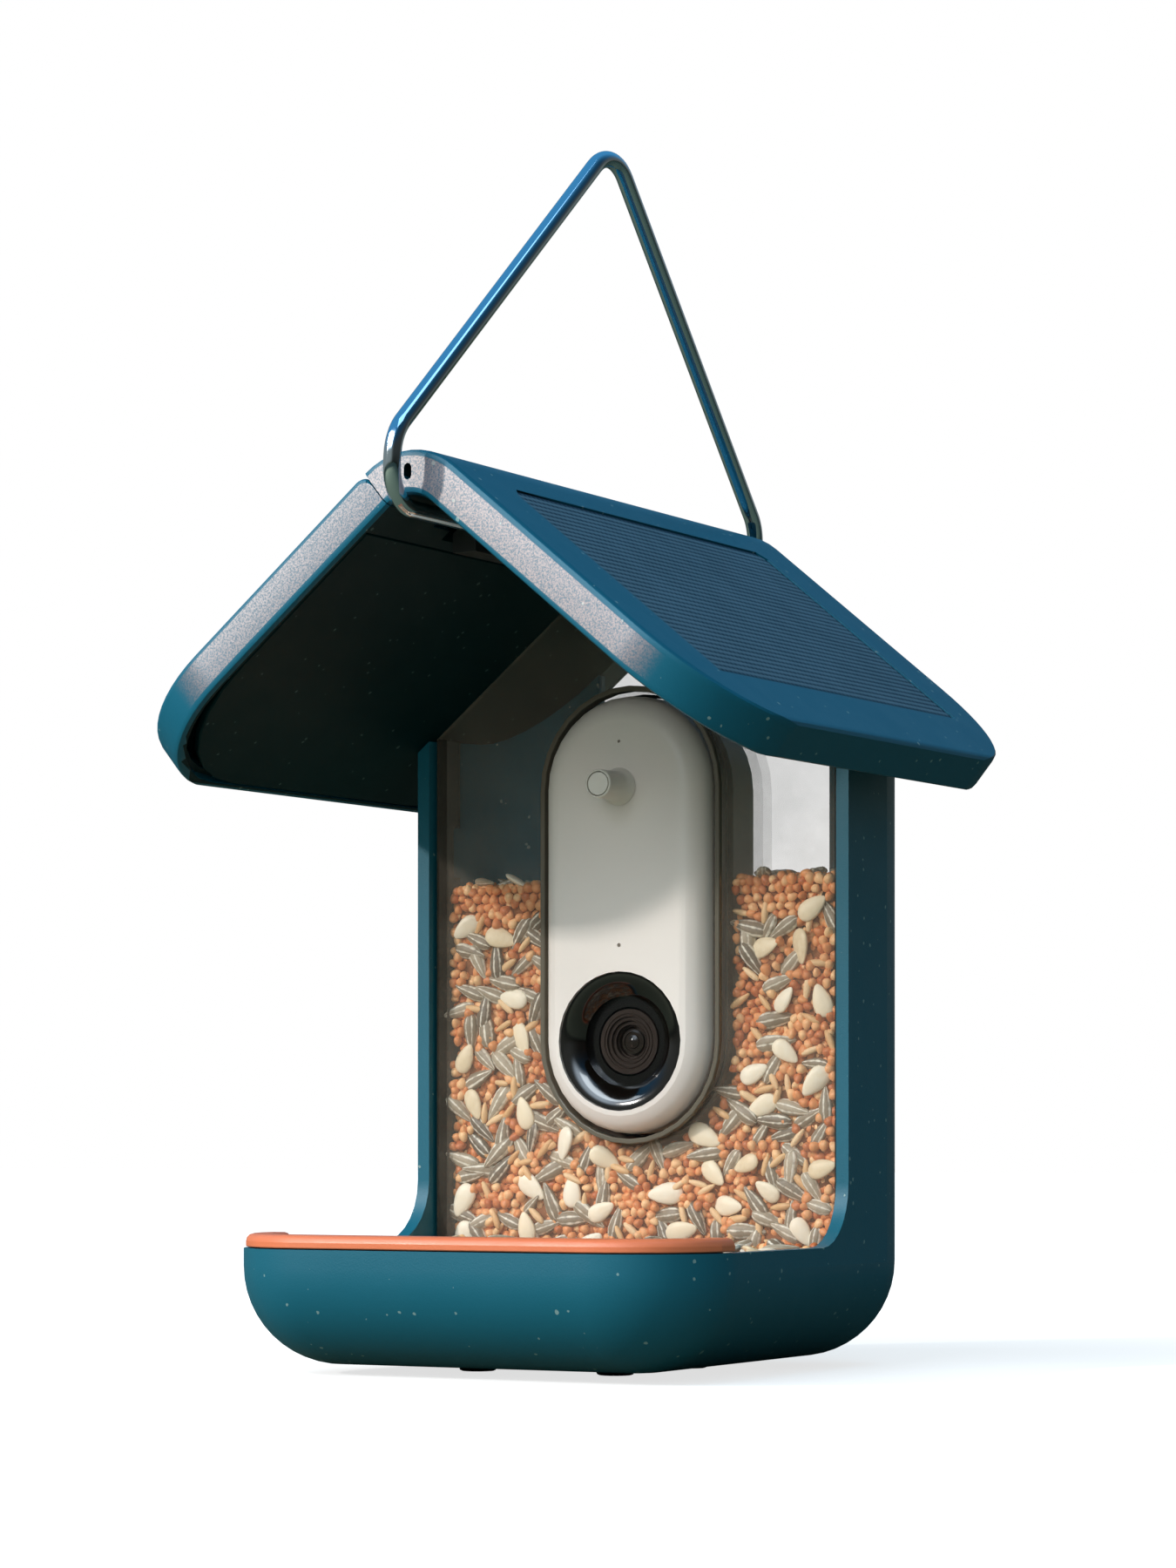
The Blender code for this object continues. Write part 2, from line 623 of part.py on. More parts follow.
def eave_rings(side, start):
    # Rings from start down to the eave, with the rounded corners and the rounded edge
    rings = []
    bend = SLOPE_LENGTH - EAVE_CORNER_RADIUS
    point, normal = slope_frame(side, start)
    rings.append(slab_ring(point, normal, HALF_ROOF, 0, ROOF_THICKNESS, ROOF_EDGE_ROUND))
    steps = 2 * CORNER_STEPS
    last = math.acos(ROOF_EDGE_ROUND / EAVE_CORNER_RADIUS)
    for k in range(steps):
        angle = last * k / steps
        s = bend + EAVE_CORNER_RADIUS * math.sin(angle)
        half = HALF_ROOF - EAVE_CORNER_RADIUS * (1 - math.cos(angle))
        if s > SLOPE_LENGTH - ROOF_EDGE_ROUND:
            break
        point, normal = slope_frame(side, s)
        rings.append(slab_ring(point, normal, half, 0, ROOF_THICKNESS, ROOF_EDGE_ROUND))
    for k in range(3):
        angle = math.pi / 2 * k / 3
        s = SLOPE_LENGTH - ROOF_EDGE_ROUND * (1 - math.sin(angle))
        reach = math.sqrt(EAVE_CORNER_RADIUS ** 2 - (s - bend) ** 2) if s > bend else EAVE_CORNER_RADIUS
        half = HALF_ROOF - EAVE_CORNER_RADIUS + reach
        drop = ROOF_EDGE_ROUND * (1 - math.cos(angle))
        point, normal = slope_frame(side, s)
        rings.append(slab_ring(point, normal, half, drop, ROOF_THICKNESS - drop, ROOF_EDGE_ROUND))
    return rings


def slab_outline(start, inset, radius=EAVE_CORNER_RADIUS):
    # Outline in the slope's own plane, as pairs of s and y
    far = SLOPE_LENGTH - inset
    half = HALF_ROOF - inset
    corners = [(start, -half), (far, -half), (far, half), (start, half)]
    return rounded(corners, [0, radius - inset, radius - inset, 0], CORNER_STEPS)


def slab_prism(side, outline, top, bottom):
    # Solid between two depths under one slope
    rings = [[slope_point(side, s, y, depth) for s, y in outline] for depth in (top, bottom)]
    return loft(rings)


def add_liner(side, name, start, parent=None):
    outline = slab_outline(start + GAP, ROOF_RIM_WALL + LINER_SLOT, LINER_CORNER_RADIUS)
    top = ROOF_THICKNESS - LINER_THICKNESS
    return add_object(name, slab_prism(side, outline, top, top + LINER_THICKNESS),
                      ((0.006, 0.050, 0.075), 0.5), parent)


def cut_slab_pocket(shell, side, name, start, skin):
    # Hollow under the skin, with a wider step below it where the liner sits
    seat = ROOF_THICKNESS - LINER_THICKNESS - GAP
    hollow = slab_outline(start + LINER_LEDGE, ROOF_RIM_WALL + LINER_LEDGE)
    step = slab_outline(start, ROOF_RIM_WALL)
    levels = [(hollow, skin), (hollow, seat), (step, seat), (step, ROOF_THICKNESS + OVERRUN / 2)]
    rings = [[slope_point(side, s, y, depth) for s, y in outline] for outline, depth in levels]
    cut(shell, name + "_hollow", loft(rings))


def hinge_place(y=0.0):
    return slope_point(LEFT, HINGE_S, y, HINGE_BARREL_RADIUS)


def hinge_bore(low, high):
    place = Matrix.Translation(hinge_place()) @ UP_Y
    return rod(HINGE_PIN_RADIUS + HINGE_CLEARANCE, low, high, place, HINGE_STEPS)


def ear_outline(grow):
    # Ear of the roof around the hinge pin, as pairs of s and depth
    radius = HINGE_BARREL_RADIUS + grow
    root = RIDGE_TANGENT - HINGE_EAR_ROOT
    nose = arc((HINGE_S, HINGE_BARREL_RADIUS), radius, -math.pi / 2, math.pi / 2, CORNER_STEPS)
    return [(root, HINGE_BARREL_RADIUS + radius)] + [(root, HINGE_BARREL_RADIUS - radius)] + nose


def ear_solid(y, width, grow):
    rings = []
    for place in (y - width / 2, y + width / 2):
        rings.append([slope_point(LEFT, s, place, depth) for s, depth in ear_outline(grow)])
    return loft(rings)


def make_roof():
    blue = ((0.012, 0.110, 0.190), 0.4)
    rings = []
    for k in range(RIDGE_STEPS):
        angle = -ROOF_PITCH + 2 * ROOF_PITCH * k / RIDGE_STEPS
        normal = Vector((math.sin(angle), 0, math.cos(angle)))
        point = Vector((0, 0, RIDGE_CENTRE)) + normal * RIDGE_RADIUS
        rings.append(slab_ring(point, normal, HALF_ROOF, 0, ROOF_THICKNESS, ROOF_EDGE_ROUND))
    roof = add_object("roof_shell", loft(rings + eave_rings(RIGHT, RIDGE_TANGENT)), blue)
    depth = SOLAR_SUNK + SOLAR_COVER + SOLAR_BOARD + 2 * GAP
    cut(roof, "roof_solar_recess", slab_prism(RIGHT, solar_outline(-GAP), -OVERRUN, depth))
    cut_slab_pocket(roof, RIGHT, "roof", ROOF_POCKET_START, depth + SOLAR_BACKING)
    join(roof, "roof_hinge_ears", *[ear_solid(end * HINGE_EAR_Y, HINGE_EAR_WIDTH, -GAP / 3)
                                    for end in (-1, 1)])
    cut(roof, "roof_hinge_bore", hinge_bore(-HALF_ROOF, HALF_ROOF))
    bores = []
    for x, y in beam_screw_places():
        bores.append(rod(SCREW_SHANK_RADIUS + GAP, BEAM_BOTTOM,
                         BEAM_BOTTOM + BEAM_SCREW_LENGTH + SCREW_HEAD_HEIGHT + 2 * GAP,
                         Matrix.Translation((x, y, 0))))
    cut(roof, "roof_screw_bores", *bores)
    high = RIDGE_CENTRE + RIDGE_RADIUS - ROOF_THICKNESS / 2
    half = GABLE_SLOT_WIDTH / 2
    run = GABLE_SLOT_HEIGHT / 2 - half
    slot = (arc((0, high + run), half, 0, math.pi, 4) + arc((0, high - run), half, math.pi, 2 * math.pi, 4))
    cut(roof, "roof_gable_slots", prism(slot, "Y", -HALF_ROOF - OVERRUN, -HALF_ROOF + GABLE_SLOT_DEPTH),
        prism(slot, "Y", HALF_ROOF - GABLE_SLOT_DEPTH, HALF_ROOF + OVERRUN))
    add_liner(RIGHT, "roof_liner", ROOF_POCKET_START)


def solar_outline(inset):
    low, high = SOLAR_START + inset, SOLAR_START + SOLAR_WIDTH - inset
    half = SOLAR_LENGTH / 2 - inset
    nick = SOLAR_CHAMFER
    return [(low + nick, -half), (high, -half), (high, half), (low + nick, half),
            (low, half - nick), (low, -half + nick)]


def make_solar_panel():
    top = SOLAR_SUNK + SOLAR_COVER + GAP
    add_object("solar_cells", slab_prism(RIGHT, solar_outline(0), top, top + SOLAR_BOARD),
               ((0.010, 0.018, 0.035), 0.3))
    add_object("solar_cover", slab_prism(RIGHT, solar_outline(0), SOLAR_SUNK, SOLAR_SUNK + SOLAR_COVER),
               ((0.025, 0.060, 0.095), 0.35))


def make_lid(pivot):
    blue = ((0.012, 0.110, 0.190), 0.4)
    rings = []
    for k in range(CORNER_STEPS):
        angle = math.pi / 2 * k / CORNER_STEPS
        point, normal = slope_frame(LEFT, HINGE_S - HINGE_BARREL_RADIUS * math.cos(angle))
        top = HINGE_BARREL_RADIUS * (1 - math.sin(angle))
        rings.append(slab_ring(point, normal, HALF_ROOF, top, ROOF_THICKNESS, ROOF_EDGE_ROUND))
    lid = add_object("lid_shell", loft(rings + eave_rings(LEFT, HINGE_S)), blue, pivot)
    cut_slab_pocket(lid, LEFT, "lid", LID_POCKET_START, ROOF_SKIN)
    # Sloping relief under the hinge, so that the lid's inner edge swings clear of the beam and windows
    edge = RIDGE_TANGENT + GAP
    under = ROOF_THICKNESS + OVERRUN
    wedge = [(edge - OVERRUN, LID_RELIEF_START), (edge, LID_RELIEF_START),
             (edge + LID_RELIEF_RUN, ROOF_THICKNESS), (edge + LID_RELIEF_RUN, under), (edge - OVERRUN, under)]
    ends = (BEAM_FRONT - BEAM_END_CLEARANCE, BEAM_BACK + BEAM_END_CLEARANCE)
    cut(lid, "lid_relief", loft([[slope_point(LEFT, s, y, down) for s, down in wedge] for y in ends]))
    notches = []
    for end in (-1, 1):
        wide = HINGE_EAR_WIDTH + 2 * GAP
        grown = ear_outline(2 * GAP)
        low = end * HINGE_EAR_Y - wide / 2
        start, depth = grown[0]
        far = HINGE_S + HINGE_BARREL_RADIUS + 2 * GAP
        nose = [(s, down) for s, down in grown[2:] if down > HINGE_BARREL_RADIUS]
        outline = ([(start, -OVERRUN), (far, -OVERRUN), (far, HINGE_BARREL_RADIUS)] + nose
                   + [(HINGE_S, depth + OVERRUN), (start, depth + OVERRUN)])
        rings = [[slope_point(LEFT, s, place, down) for s, down in outline]
                 for place in (low, low + wide)]
        notches.append(loft(rings))
    cut(lid, "lid_ear_notches", *notches)
    cut(lid, "lid_hinge_bore", hinge_bore(-HALF_ROOF + HINGE_PIN_INSET - GAP, HALF_ROOF + OVERRUN))
    add_liner(LEFT, "lid_liner", LID_POCKET_START, pivot)
    place = Matrix.Translation(hinge_place()) @ UP_Y
    add_object("hinge_pin", rod(HINGE_PIN_RADIUS, -HALF_ROOF + HINGE_PIN_INSET,
                                HALF_ROOF - HINGE_PIN_INSET, place, HINGE_STEPS),
               ((0.55, 0.55, 0.56), 0.3, 1.0))


# Ridge beam and hanger

def beam_screw_places():
    # One row on the right of the wire, clear of the lid's seam
    first = BEAM_FRONT + BEAM_SCREW_INSET
    pitch = (BEAM_BACK - BEAM_SCREW_INSET - first) / (BEAM_SCREW_COUNT - 1)
    return [(BEAM_SCREW_X, first + pitch * k) for k in range(BEAM_SCREW_COUNT)]


def make_beam():
    reach = ROOF_THICKNESS + GAP
    under = arc((0, RIDGE_CENTRE), RIDGE_RADIUS - reach, math.pi / 2 - ROOF_PITCH,
                math.pi / 2 + ROOF_PITCH, RIDGE_STEPS)
    peak = ROOF_APEX - reach / COS_PITCH
    side = peak - BEAM_HALF_WIDTH * math.tan(ROOF_PITCH)
    slot = WIRE_RADIUS + GAP
    mouth = WIRE_RADIUS - WIRE_SNAP / 2
    past = math.acos(mouth / slot)
    outline = ([(mouth, BEAM_BOTTOM), (BEAM_HALF_WIDTH, BEAM_BOTTOM), (BEAM_HALF_WIDTH, side)] + under
               + [(-BEAM_HALF_WIDTH, side), (-BEAM_HALF_WIDTH, BEAM_BOTTOM), (-mouth, BEAM_BOTTOM)])
    outline += arc((0, WIRE_AXIS_HEIGHT), slot, math.pi + past, -past, 2 * CORNER_STEPS)
    beam = add_object("ridge_beam", prism(outline, "Y", BEAM_FRONT, BEAM_BACK),
                      ((0.010, 0.011, 0.012), 0.55))
    bores = []
    for number, (x, y) in enumerate(beam_screw_places(), 1):
        place = Matrix.Translation((x, y, 0))
        seat = BEAM_BOTTOM + SCREW_HEAD_HEIGHT
        bores.append(turned([(0, BEAM_BOTTOM - OVERRUN), (SCREW_HEAD_RADIUS + GAP, BEAM_BOTTOM - OVERRUN),
                             (SCREW_HEAD_RADIUS + GAP, seat), (SCREW_SHANK_RADIUS + GAP, seat),
                             (SCREW_SHANK_RADIUS + GAP, HOUSE_TOP), (0, HOUSE_TOP)], place))
        low = BEAM_BOTTOM
        head = low + SCREW_HEAD_HEIGHT - GAP
        profile = [(0, low), (SCREW_HEAD_RADIUS, low), (SCREW_HEAD_RADIUS, head),
                   (SCREW_SHANK_RADIUS, head), (SCREW_SHANK_RADIUS, low + BEAM_SCREW_LENGTH), (0, low + BEAM_SCREW_LENGTH)]
        add_object("beam_screw_" + str(number), turned(profile, place, 10), ((0.5, 0.5, 0.5), 0.35, 1.0))
    cut(beam, "beam_screw_bores", *bores)


def filleted_path(corners, radii, step):
    # Open polyline whose corners are arcs, with points every step along it
    points = [Vector(corners[0])]
    for i in range(1, len(corners) - 1):
        here = Vector(corners[i])
        back = (Vector(corners[i - 1]) - here).normalized()
        ahead = (Vector(corners[i + 1]) - here).normalized()
        half = back.angle(ahead) / 2
        middle = here + (back + ahead).normalized() * (radii[i] / math.sin(half))
        first = here + back * (radii[i] / math.tan(half)) - middle
        turn = first.angle_signed(here + ahead * (radii[i] / math.tan(half)) - middle)
        count = max(4, round(abs(turn) * radii[i] / (step / 2)))
        arc_points = [middle + Matrix.Rotation(-turn * k / count, 2) @ first for k in range(count + 1)]
        fill_line(points, arc_points[0], step)
        points += arc_points[1:]
    fill_line(points, Vector(corners[-1]), step)
    return points


def fill_line(points, end, step):
    start = points[-1]
    count = max(1, round((end - start).length / (4 * step)))
    for k in range(1, count + 1):
        points.append(start.lerp(end, k / count))


def make_hanger(pivot):
    # The wire lies in one plane through its straight run under the ridge; its ends meet there
    corners = [(WIRE_END_GAP / 2, 0), (WIRE_REACH, 0), (WIRE_REACH, WIRE_SHOULDER), (0, WIRE_PEAK),
               (-WIRE_REACH, WIRE_SHOULDER), (-WIRE_REACH, 0), (-WIRE_END_GAP / 2, 0)]
    radii = [0, WIRE_CURL_RADIUS, WIRE_SHOULDER_RADIUS, WIRE_PEAK_RADIUS, WIRE_SHOULDER_RADIUS,
             WIRE_CURL_RADIUS, 0]
    path = filleted_path(corners, radii, WIRE_STEP)
    curve = bpy.data.curves.new("hanger_wire", "CURVE")
    curve.dimensions = "3D"
    curve.bevel_depth = WIRE_RADIUS
    curve.bevel_resolution = 2
    curve.use_fill_caps = True
    spline = curve.splines.new("POLY")
    spline.points.add(len(path) - 1)
    for point, (y, rise) in zip(spline.points, path):
        point.co = (rise * math.sin(WIRE_LEAN), y, WIRE_AXIS_HEIGHT + rise * math.cos(WIRE_LEAN), 1)
    curve.materials.append(make_material("hanger_wire", (0.55, 0.57, 0.60), 0.12, 1.0))
    wire = bpy.data.objects.new("hanger_wire", curve)
    bpy.context.collection.objects.link(wire)
    wire.parent = pivot
    wire.matrix_parent_inverse = Matrix.Translation(-pivot.location)


# Camera module

def module_rings(inset, front, back, front_round, back_round):
    # Capsule rings from front to back with rounded end edges
    rings = []
    steps = 5

    def ring(extra, y):
        return [(x, y, z) for x, z in capsule(MODULE_RADIUS - inset - extra)]
    if front_round:
        for k in range(steps):
            angle = math.pi / 2 * k / steps
            rings.append(ring(front_round * (1 - math.sin(angle)), front + front_round * (1 - math.cos(angle))))
    rings.append(ring(0, front + front_round))
    rings.append(ring(0, back - back_round))
    if back_round:
        for k in range(1, steps + 1):
            angle = math.pi / 2 * k / steps
            rings.append(ring(back_round * (1 - math.cos(angle)), back - back_round * (1 - math.sin(angle))))
    return rings


def boss_places():
    return [(side * BOSS_X, height) for height in (CAPSULE_LOW, CAPSULE_HIGH) for side in (LEFT, RIGHT)]


def make_module_shells(pivot):
    white = ((0.80, 0.80, 0.77), 0.38)
    front = add_object("module_front_shell",
                       loft(module_rings(0, MODULE_FRONT_Y, MODULE_SPLIT_Y, MODULE_FRONT_ROUND, 0)),
                       white, pivot)
    cut(front, "module_front_inside",
        loft(module_rings(MODULE_WALL, MODULE_FRONT_Y + MODULE_WALL, MODULE_SPLIT_Y + OVERRUN,
                          MODULE_FRONT_ROUND - MODULE_WALL, 0)))
    join(front, "module_front_bosses", *[rod(BOSS_RADIUS, BOSS_START_Y, MODULE_SPLIT_Y, facing_back(x, z))
                                         for x, z in boss_places()])
    holes = [rod(LENS_RADIUS + GAP, MODULE_FRONT_Y - OVERRUN, BOSS_START_Y - GAP,
                 facing_back(0, CAPSULE_LOW), 2 * CAPSULE_STEPS)]
    holes.append(rod(STEM_RADIUS + GAP, MODULE_FRONT_Y - OVERRUN, MODULE_FRONT_Y + OVERRUN,
                     facing_back(0, CAPSULE_HIGH)))
    holes.append(rod(MICROPHONE_RADIUS, MODULE_FRONT_Y - OVERRUN, MODULE_FRONT_Y + OVERRUN,
                     facing_back(0, CAPSULE_HIGH + MICROPHONE_RISE), 8))
    holes.append(rod(LIGHT_HOLE_RADIUS, MODULE_FRONT_Y - OVERRUN, MODULE_FRONT_Y + OVERRUN,
                     facing_back(0, CAPSULE_LOW + LIGHT_HOLE_RISE), 8))
    cut(front, "module_front_holes", *holes)
    cut(front, "module_front_screw_bores",
        *[rod(SCREW_SHANK_RADIUS + GAP, BOSS_START_Y - OVERRUN / 4, MODULE_SPLIT_Y + OVERRUN,
              facing_back(x, z), 10) for x, z in boss_places()])

    split = MODULE_SPLIT_Y + MODULE_SEAM_STRIP + 2 * GAP
    rear = add_object("module_rear_shell",
                      loft(module_rings(0, split, MODULE_BACK_Y, 0, MODULE_BACK_ROUND)), white, pivot)
    cut(rear, "module_rear_inside",
        loft(module_rings(MODULE_WALL, split - OVERRUN, MODULE_BACK_Y - MODULE_WALL, 0,
                          MODULE_BACK_ROUND - MODULE_WALL)))
    join(rear, "module_rear_bosses", *[rod(BOSS_RADIUS, split, MODULE_BACK_Y - MODULE_WALL / 2, facing_back(x, z))
                                       for x, z in boss_places()])
    seat = MODULE_BACK_Y - SCREW_HEAD_HEIGHT
    bores = []
    for x, z in boss_places():
        bores.append(turned([(0, split - OVERRUN), (SCREW_SHANK_RADIUS + GAP, split - OVERRUN),
                             (SCREW_SHANK_RADIUS + GAP, seat), (SCREW_HEAD_RADIUS + GAP, seat),
                             (SCREW_HEAD_RADIUS + GAP, MODULE_BACK_Y + OVERRUN),
                             (0, MODULE_BACK_Y + OVERRUN)], facing_back(x, z), 10))
    bores.append(rod(BUTTON_RADIUS + GAP, MODULE_BACK_Y - OVERRUN / 2, MODULE_BACK_Y + OVERRUN,
                     facing_back(0, CAPSULE_HIGH + BUTTON_RISE)))
    cut(rear, "module_rear_bores", *bores)
    grow = GAP
    cut(rear, "module_port_recess", port_solid(grow, OVERRUN))

    seam = add_object("module_seam", loft(module_rings(MODULE_WALL / 4, MODULE_SPLIT_Y + GAP,
                                                       MODULE_SPLIT_Y + GAP + MODULE_SEAM_STRIP, 0, 0)),
                      ((0.02, 0.02, 0.022), 0.7), pivot)
    cut(seam, "seam_inside", loft(module_rings(MODULE_WALL, MODULE_SPLIT_Y - OVERRUN,
                                               MODULE_SPLIT_Y + OVERRUN, 0, 0)))
    for number, (x, z) in enumerate(boss_places(), 1):
        back = MODULE_BACK_Y
        head = back - SCREW_HEAD_HEIGHT + GAP
        tip = back - MODULE_SCREW_LENGTH
        profile = [(0, tip), (SCREW_SHANK_RADIUS, tip), (SCREW_SHANK_RADIUS, head),
                   (SCREW_HEAD_RADIUS, head), (SCREW_HEAD_RADIUS, back), (0, back)]
        add_object("module_screw_" + str(number), turned(profile, facing_back(x, z), 10),
                   ((0.5, 0.5, 0.5), 0.35, 1.0), pivot)


def port_solid(grow, overrun):
    z = CAPSULE_LOW - PORT_DROP
    corners = box_outline(-PORT_HALF_WIDTH - grow, PORT_HALF_WIDTH + grow,
                          z - PORT_HALF_HEIGHT - grow, z + PORT_HALF_HEIGHT + grow)
    outline = rounded(corners, [PORT_HALF_HEIGHT / 2] * 4, 4)
    return prism(outline, "Y", MODULE_BACK_Y - PORT_DEPTH - grow, MODULE_BACK_Y + overrun)


def make_lens(pivot):
    front = MODULE_FRONT_Y + LENS_STAND
    glass = front + LENS_GLASS_SINK
    ledge = glass + LENS_GLASS_THICKNESS + GAP
    back = front + LENS_BODY_DEPTH
    bore = LENS_GLASS_RADIUS + GAP
    profile = [(LENS_RADIUS - LENS_LIP, front), (LENS_RADIUS, front + LENS_LIP), (LENS_RADIUS, back),
               (bore - LENS_LEDGE, back), (bore - LENS_LEDGE, ledge), (bore, ledge),
               (bore, glass - GAP)]
    place = facing_back(0, CAPSULE_LOW)
    add_object("lens_bezel", turned(profile, place, 2 * CAPSULE_STEPS), ((0.004, 0.004, 0.005), 0.08), pivot)
    profile = [(0, glass), (LENS_GLASS_RADIUS, glass),
               (LENS_GLASS_RADIUS, glass + LENS_GLASS_THICKNESS), (0, glass + LENS_GLASS_THICKNESS)]
    add_object("lens_window", turned(profile, place, 2 * CAPSULE_STEPS),
               ((0.02, 0.02, 0.025), 0.03, 0.0, 0.7), pivot)
    board = board_front()
    top = ledge
    mouth = top + BARREL_STEP + LENS_DOME_HEIGHT
    profile = [(0, board - GAP), (BARREL_RADIUS, board - GAP), (BARREL_RADIUS, top),
               (BARREL_RADIUS - BARREL_STEP, top), (BARREL_MOUTH_RADIUS, mouth), (0, mouth)]
    add_object("lens_barrel", turned(profile, place, CAPSULE_STEPS), ((0.008, 0.008, 0.009), 0.3), pivot)
    low = mouth - GAP
    profile = [(0, low), (LENS_DOME_RADIUS, low)]
    profile += [(LENS_DOME_RADIUS * math.cos(a), low - LENS_DOME_HEIGHT * math.sin(a))
                for a in (math.pi / 8, math.pi / 4, 3 * math.pi / 8)]
    profile += [(0, low - LENS_DOME_HEIGHT)]
    add_object("lens_dome", turned(profile, place), ((0.03, 0.03, 0.05), 0.02, 0.0, 0.6), pivot)


def make_sensor_stem(pivot):
    tip = MODULE_FRONT_Y - STEM_LENGTH
    base = MODULE_FRONT_Y - GAP
    cap = STEM_CAP_RADIUS + GAP
    profile = [(cap, tip), (STEM_RADIUS - GAP, tip), (STEM_RADIUS, tip + GAP),
               (STEM_RADIUS, base - 2 * STEM_FLARE)]
    profile += [(STEM_RADIUS + STEM_FLARE / 4, base - STEM_FLARE), (STEM_RADIUS + STEM_FLARE, base)]
    profile += [(STEM_RADIUS, base), (STEM_RADIUS, MODULE_FRONT_Y + STEM_TAIL), (0, MODULE_FRONT_Y + STEM_TAIL),
                (0, tip + STEM_CAP_DEPTH), (cap, tip + STEM_CAP_DEPTH)]
    place = facing_back(0, CAPSULE_HIGH)
    add_object("sensor_stem", turned(profile, place, 2 * SMALL_STEPS), ((0.78, 0.78, 0.75), 0.35), pivot)
    profile = [(0, tip), (STEM_CAP_RADIUS, tip), (STEM_CAP_RADIUS, tip + STEM_CAP_DEPTH - GAP),
               (0, tip + STEM_CAP_DEPTH - GAP)]
    add_object("sensor_cap", turned(profile, place, 2 * SMALL_STEPS), ((0.82, 0.82, 0.80), 0.3), pivot)


def board_front():
    # The battery lies against the rear shell, and the board against the battery
    return MODULE_BACK_Y - MODULE_WALL - GAP - BATTERY_THICKNESS - GAP - BOARD_THICKNESS


def make_electronics(pivot):
    front = board_front()
    low = CAPSULE_LOW - BOARD_END_MARGIN
    high = CAPSULE_HIGH + BOARD_END_MARGIN
    corners = box_outline(-BOARD_HALF_WIDTH, BOARD_HALF_WIDTH, low, high)
    add_object("camera_board", prism(rounded(corners, [BATTERY_ROUND] * 4, 3), "Y", front,
                                     front + BOARD_THICKNESS), ((0.02, 0.12, 0.05), 0.5), pivot)
    middle = (CAPSULE_LOW + CAPSULE_HIGH) / 2
    start = front + BOARD_THICKNESS + GAP
    corners = box_outline(-BATTERY_HALF_WIDTH, BATTERY_HALF_WIDTH, start, start + BATTERY_THICKNESS)
    add_object("battery_pack", prism(rounded(corners, [BATTERY_ROUND] * 4, 4), "Z",
                                     middle - BATTERY_HEIGHT / 2, middle + BATTERY_HEIGHT / 2),
               ((0.35, 0.36, 0.38), 0.5), pivot)
    add_object("port_cover", port_solid(0, 0), ((0.03, 0.03, 0.03), 0.7), pivot)


def make_button(pivot):
    inner = MODULE_BACK_Y - MODULE_WALL - GAP
    flange = inner - BUTTON_FLANGE_HEIGHT
    profile = [(0, flange), (BUTTON_RADIUS + BUTTON_FLANGE, flange), (BUTTON_RADIUS + BUTTON_FLANGE, inner),
               (BUTTON_RADIUS, inner), (BUTTON_RADIUS, MODULE_BACK_Y), (0, MODULE_BACK_Y)]
    add_object("power_button", turned(profile, facing_back(0, CAPSULE_HIGH + BUTTON_RISE)),
               ((0.30, 0.31, 0.32), 0.45), pivot)


# Tray, perch and seed

def make_tray_floor():
    rear = HOUSE_LENGTH / 2
    top, under = TRAY_FLOOR_TOP, TRAY_FLOOR_TOP - TRAY_FLOOR_THICKNESS
    foot = BASE_FLOOR + GAP
    outline = [(-rear, top), (RAMP_START_Y, top), (rear, RAMP_TOP), (rear, RAMP_TOP - TRAY_FLOOR_THICKNESS)]
    half_rib = TRAY_RIB_THICKNESS / 2
    slope = (RAMP_TOP - top) / (rear - RAMP_START_Y)
    rise = max(0.0, TRAY_RIB_Y + half_rib - RAMP_START_Y) * slope
    outline += [(TRAY_RIB_Y + half_rib, under + rise), (TRAY_RIB_Y + half_rib, foot),
                (TRAY_RIB_Y - half_rib, foot), (TRAY_RIB_Y - half_rib, under)]
    outline += [(-TRAY_RIB_Y + half_rib, under), (-TRAY_RIB_Y + half_rib, foot),
                (-TRAY_RIB_Y - half_rib, foot), (-TRAY_RIB_Y - half_rib, under), (-rear, under)]
    floor = add_object("tray_floor", prism(outline, "X", -FAR, FAR), ((0.010, 0.075, 0.115), 0.5))
    keep_inside(floor, "tray_floor_bounds", tub(HOUSE_WALL + GAP, foot, HOUSE_TOP))
    slots = []
    for side in (LEFT, RIGHT):
        for k in range(DRAIN_COUNT):
            x = side * (k + 1 / 2) * DRAIN_PITCH
            middle = -TRAY_RIB_Y + TRAY_RIB_THICKNESS + DRAIN_LENGTH
            slots.append(block((x - DRAIN_WIDTH / 2, middle - DRAIN_LENGTH / 2, under - OVERRUN / 4),
                               (x + DRAIN_WIDTH / 2, middle + DRAIN_LENGTH / 2, top + OVERRUN / 4)))
    cut(floor, "tray_drain_slots", *slots)


def make_perch(pivot):
    # A rounded strip that follows the front of the rim from one side to the other
    low = RIM_HEIGHT + GAP
    high = low + PERCH_HEIGHT
    crown = PERCH_CROWN_RADIUS
    start = PERCH_SETBACK
    end = start + PERCH_WIDTH
    lip = HOUSE_WALL + GAP
    section = [(start, low), (start, high - crown)]
    section += arc((start + crown, high - crown), crown, math.pi, math.pi / 2, 3)[1:]
    section += arc((end - crown, high - crown), crown, math.pi / 2, 0, 3)
    section += [(end, low), (lip + PERCH_LIP, low), (lip + PERCH_LIP, low - PERCH_LIP_DEPTH),
                (lip, low - PERCH_LIP_DEPTH), (lip, low)]
    loops = [plan_outline(inset)[:2 * (CORNER_STEPS + 1)] for inset, _ in section]
    rings = []
    for i in range(len(loops[0])):
        rings.append([(loops[k][i][0], loops[k][i][1], section[k][1]) for k in range(len(section))])
    add_object("perch_strip", loft(rings), ((0.62, 0.17, 0.07), 0.45), pivot)


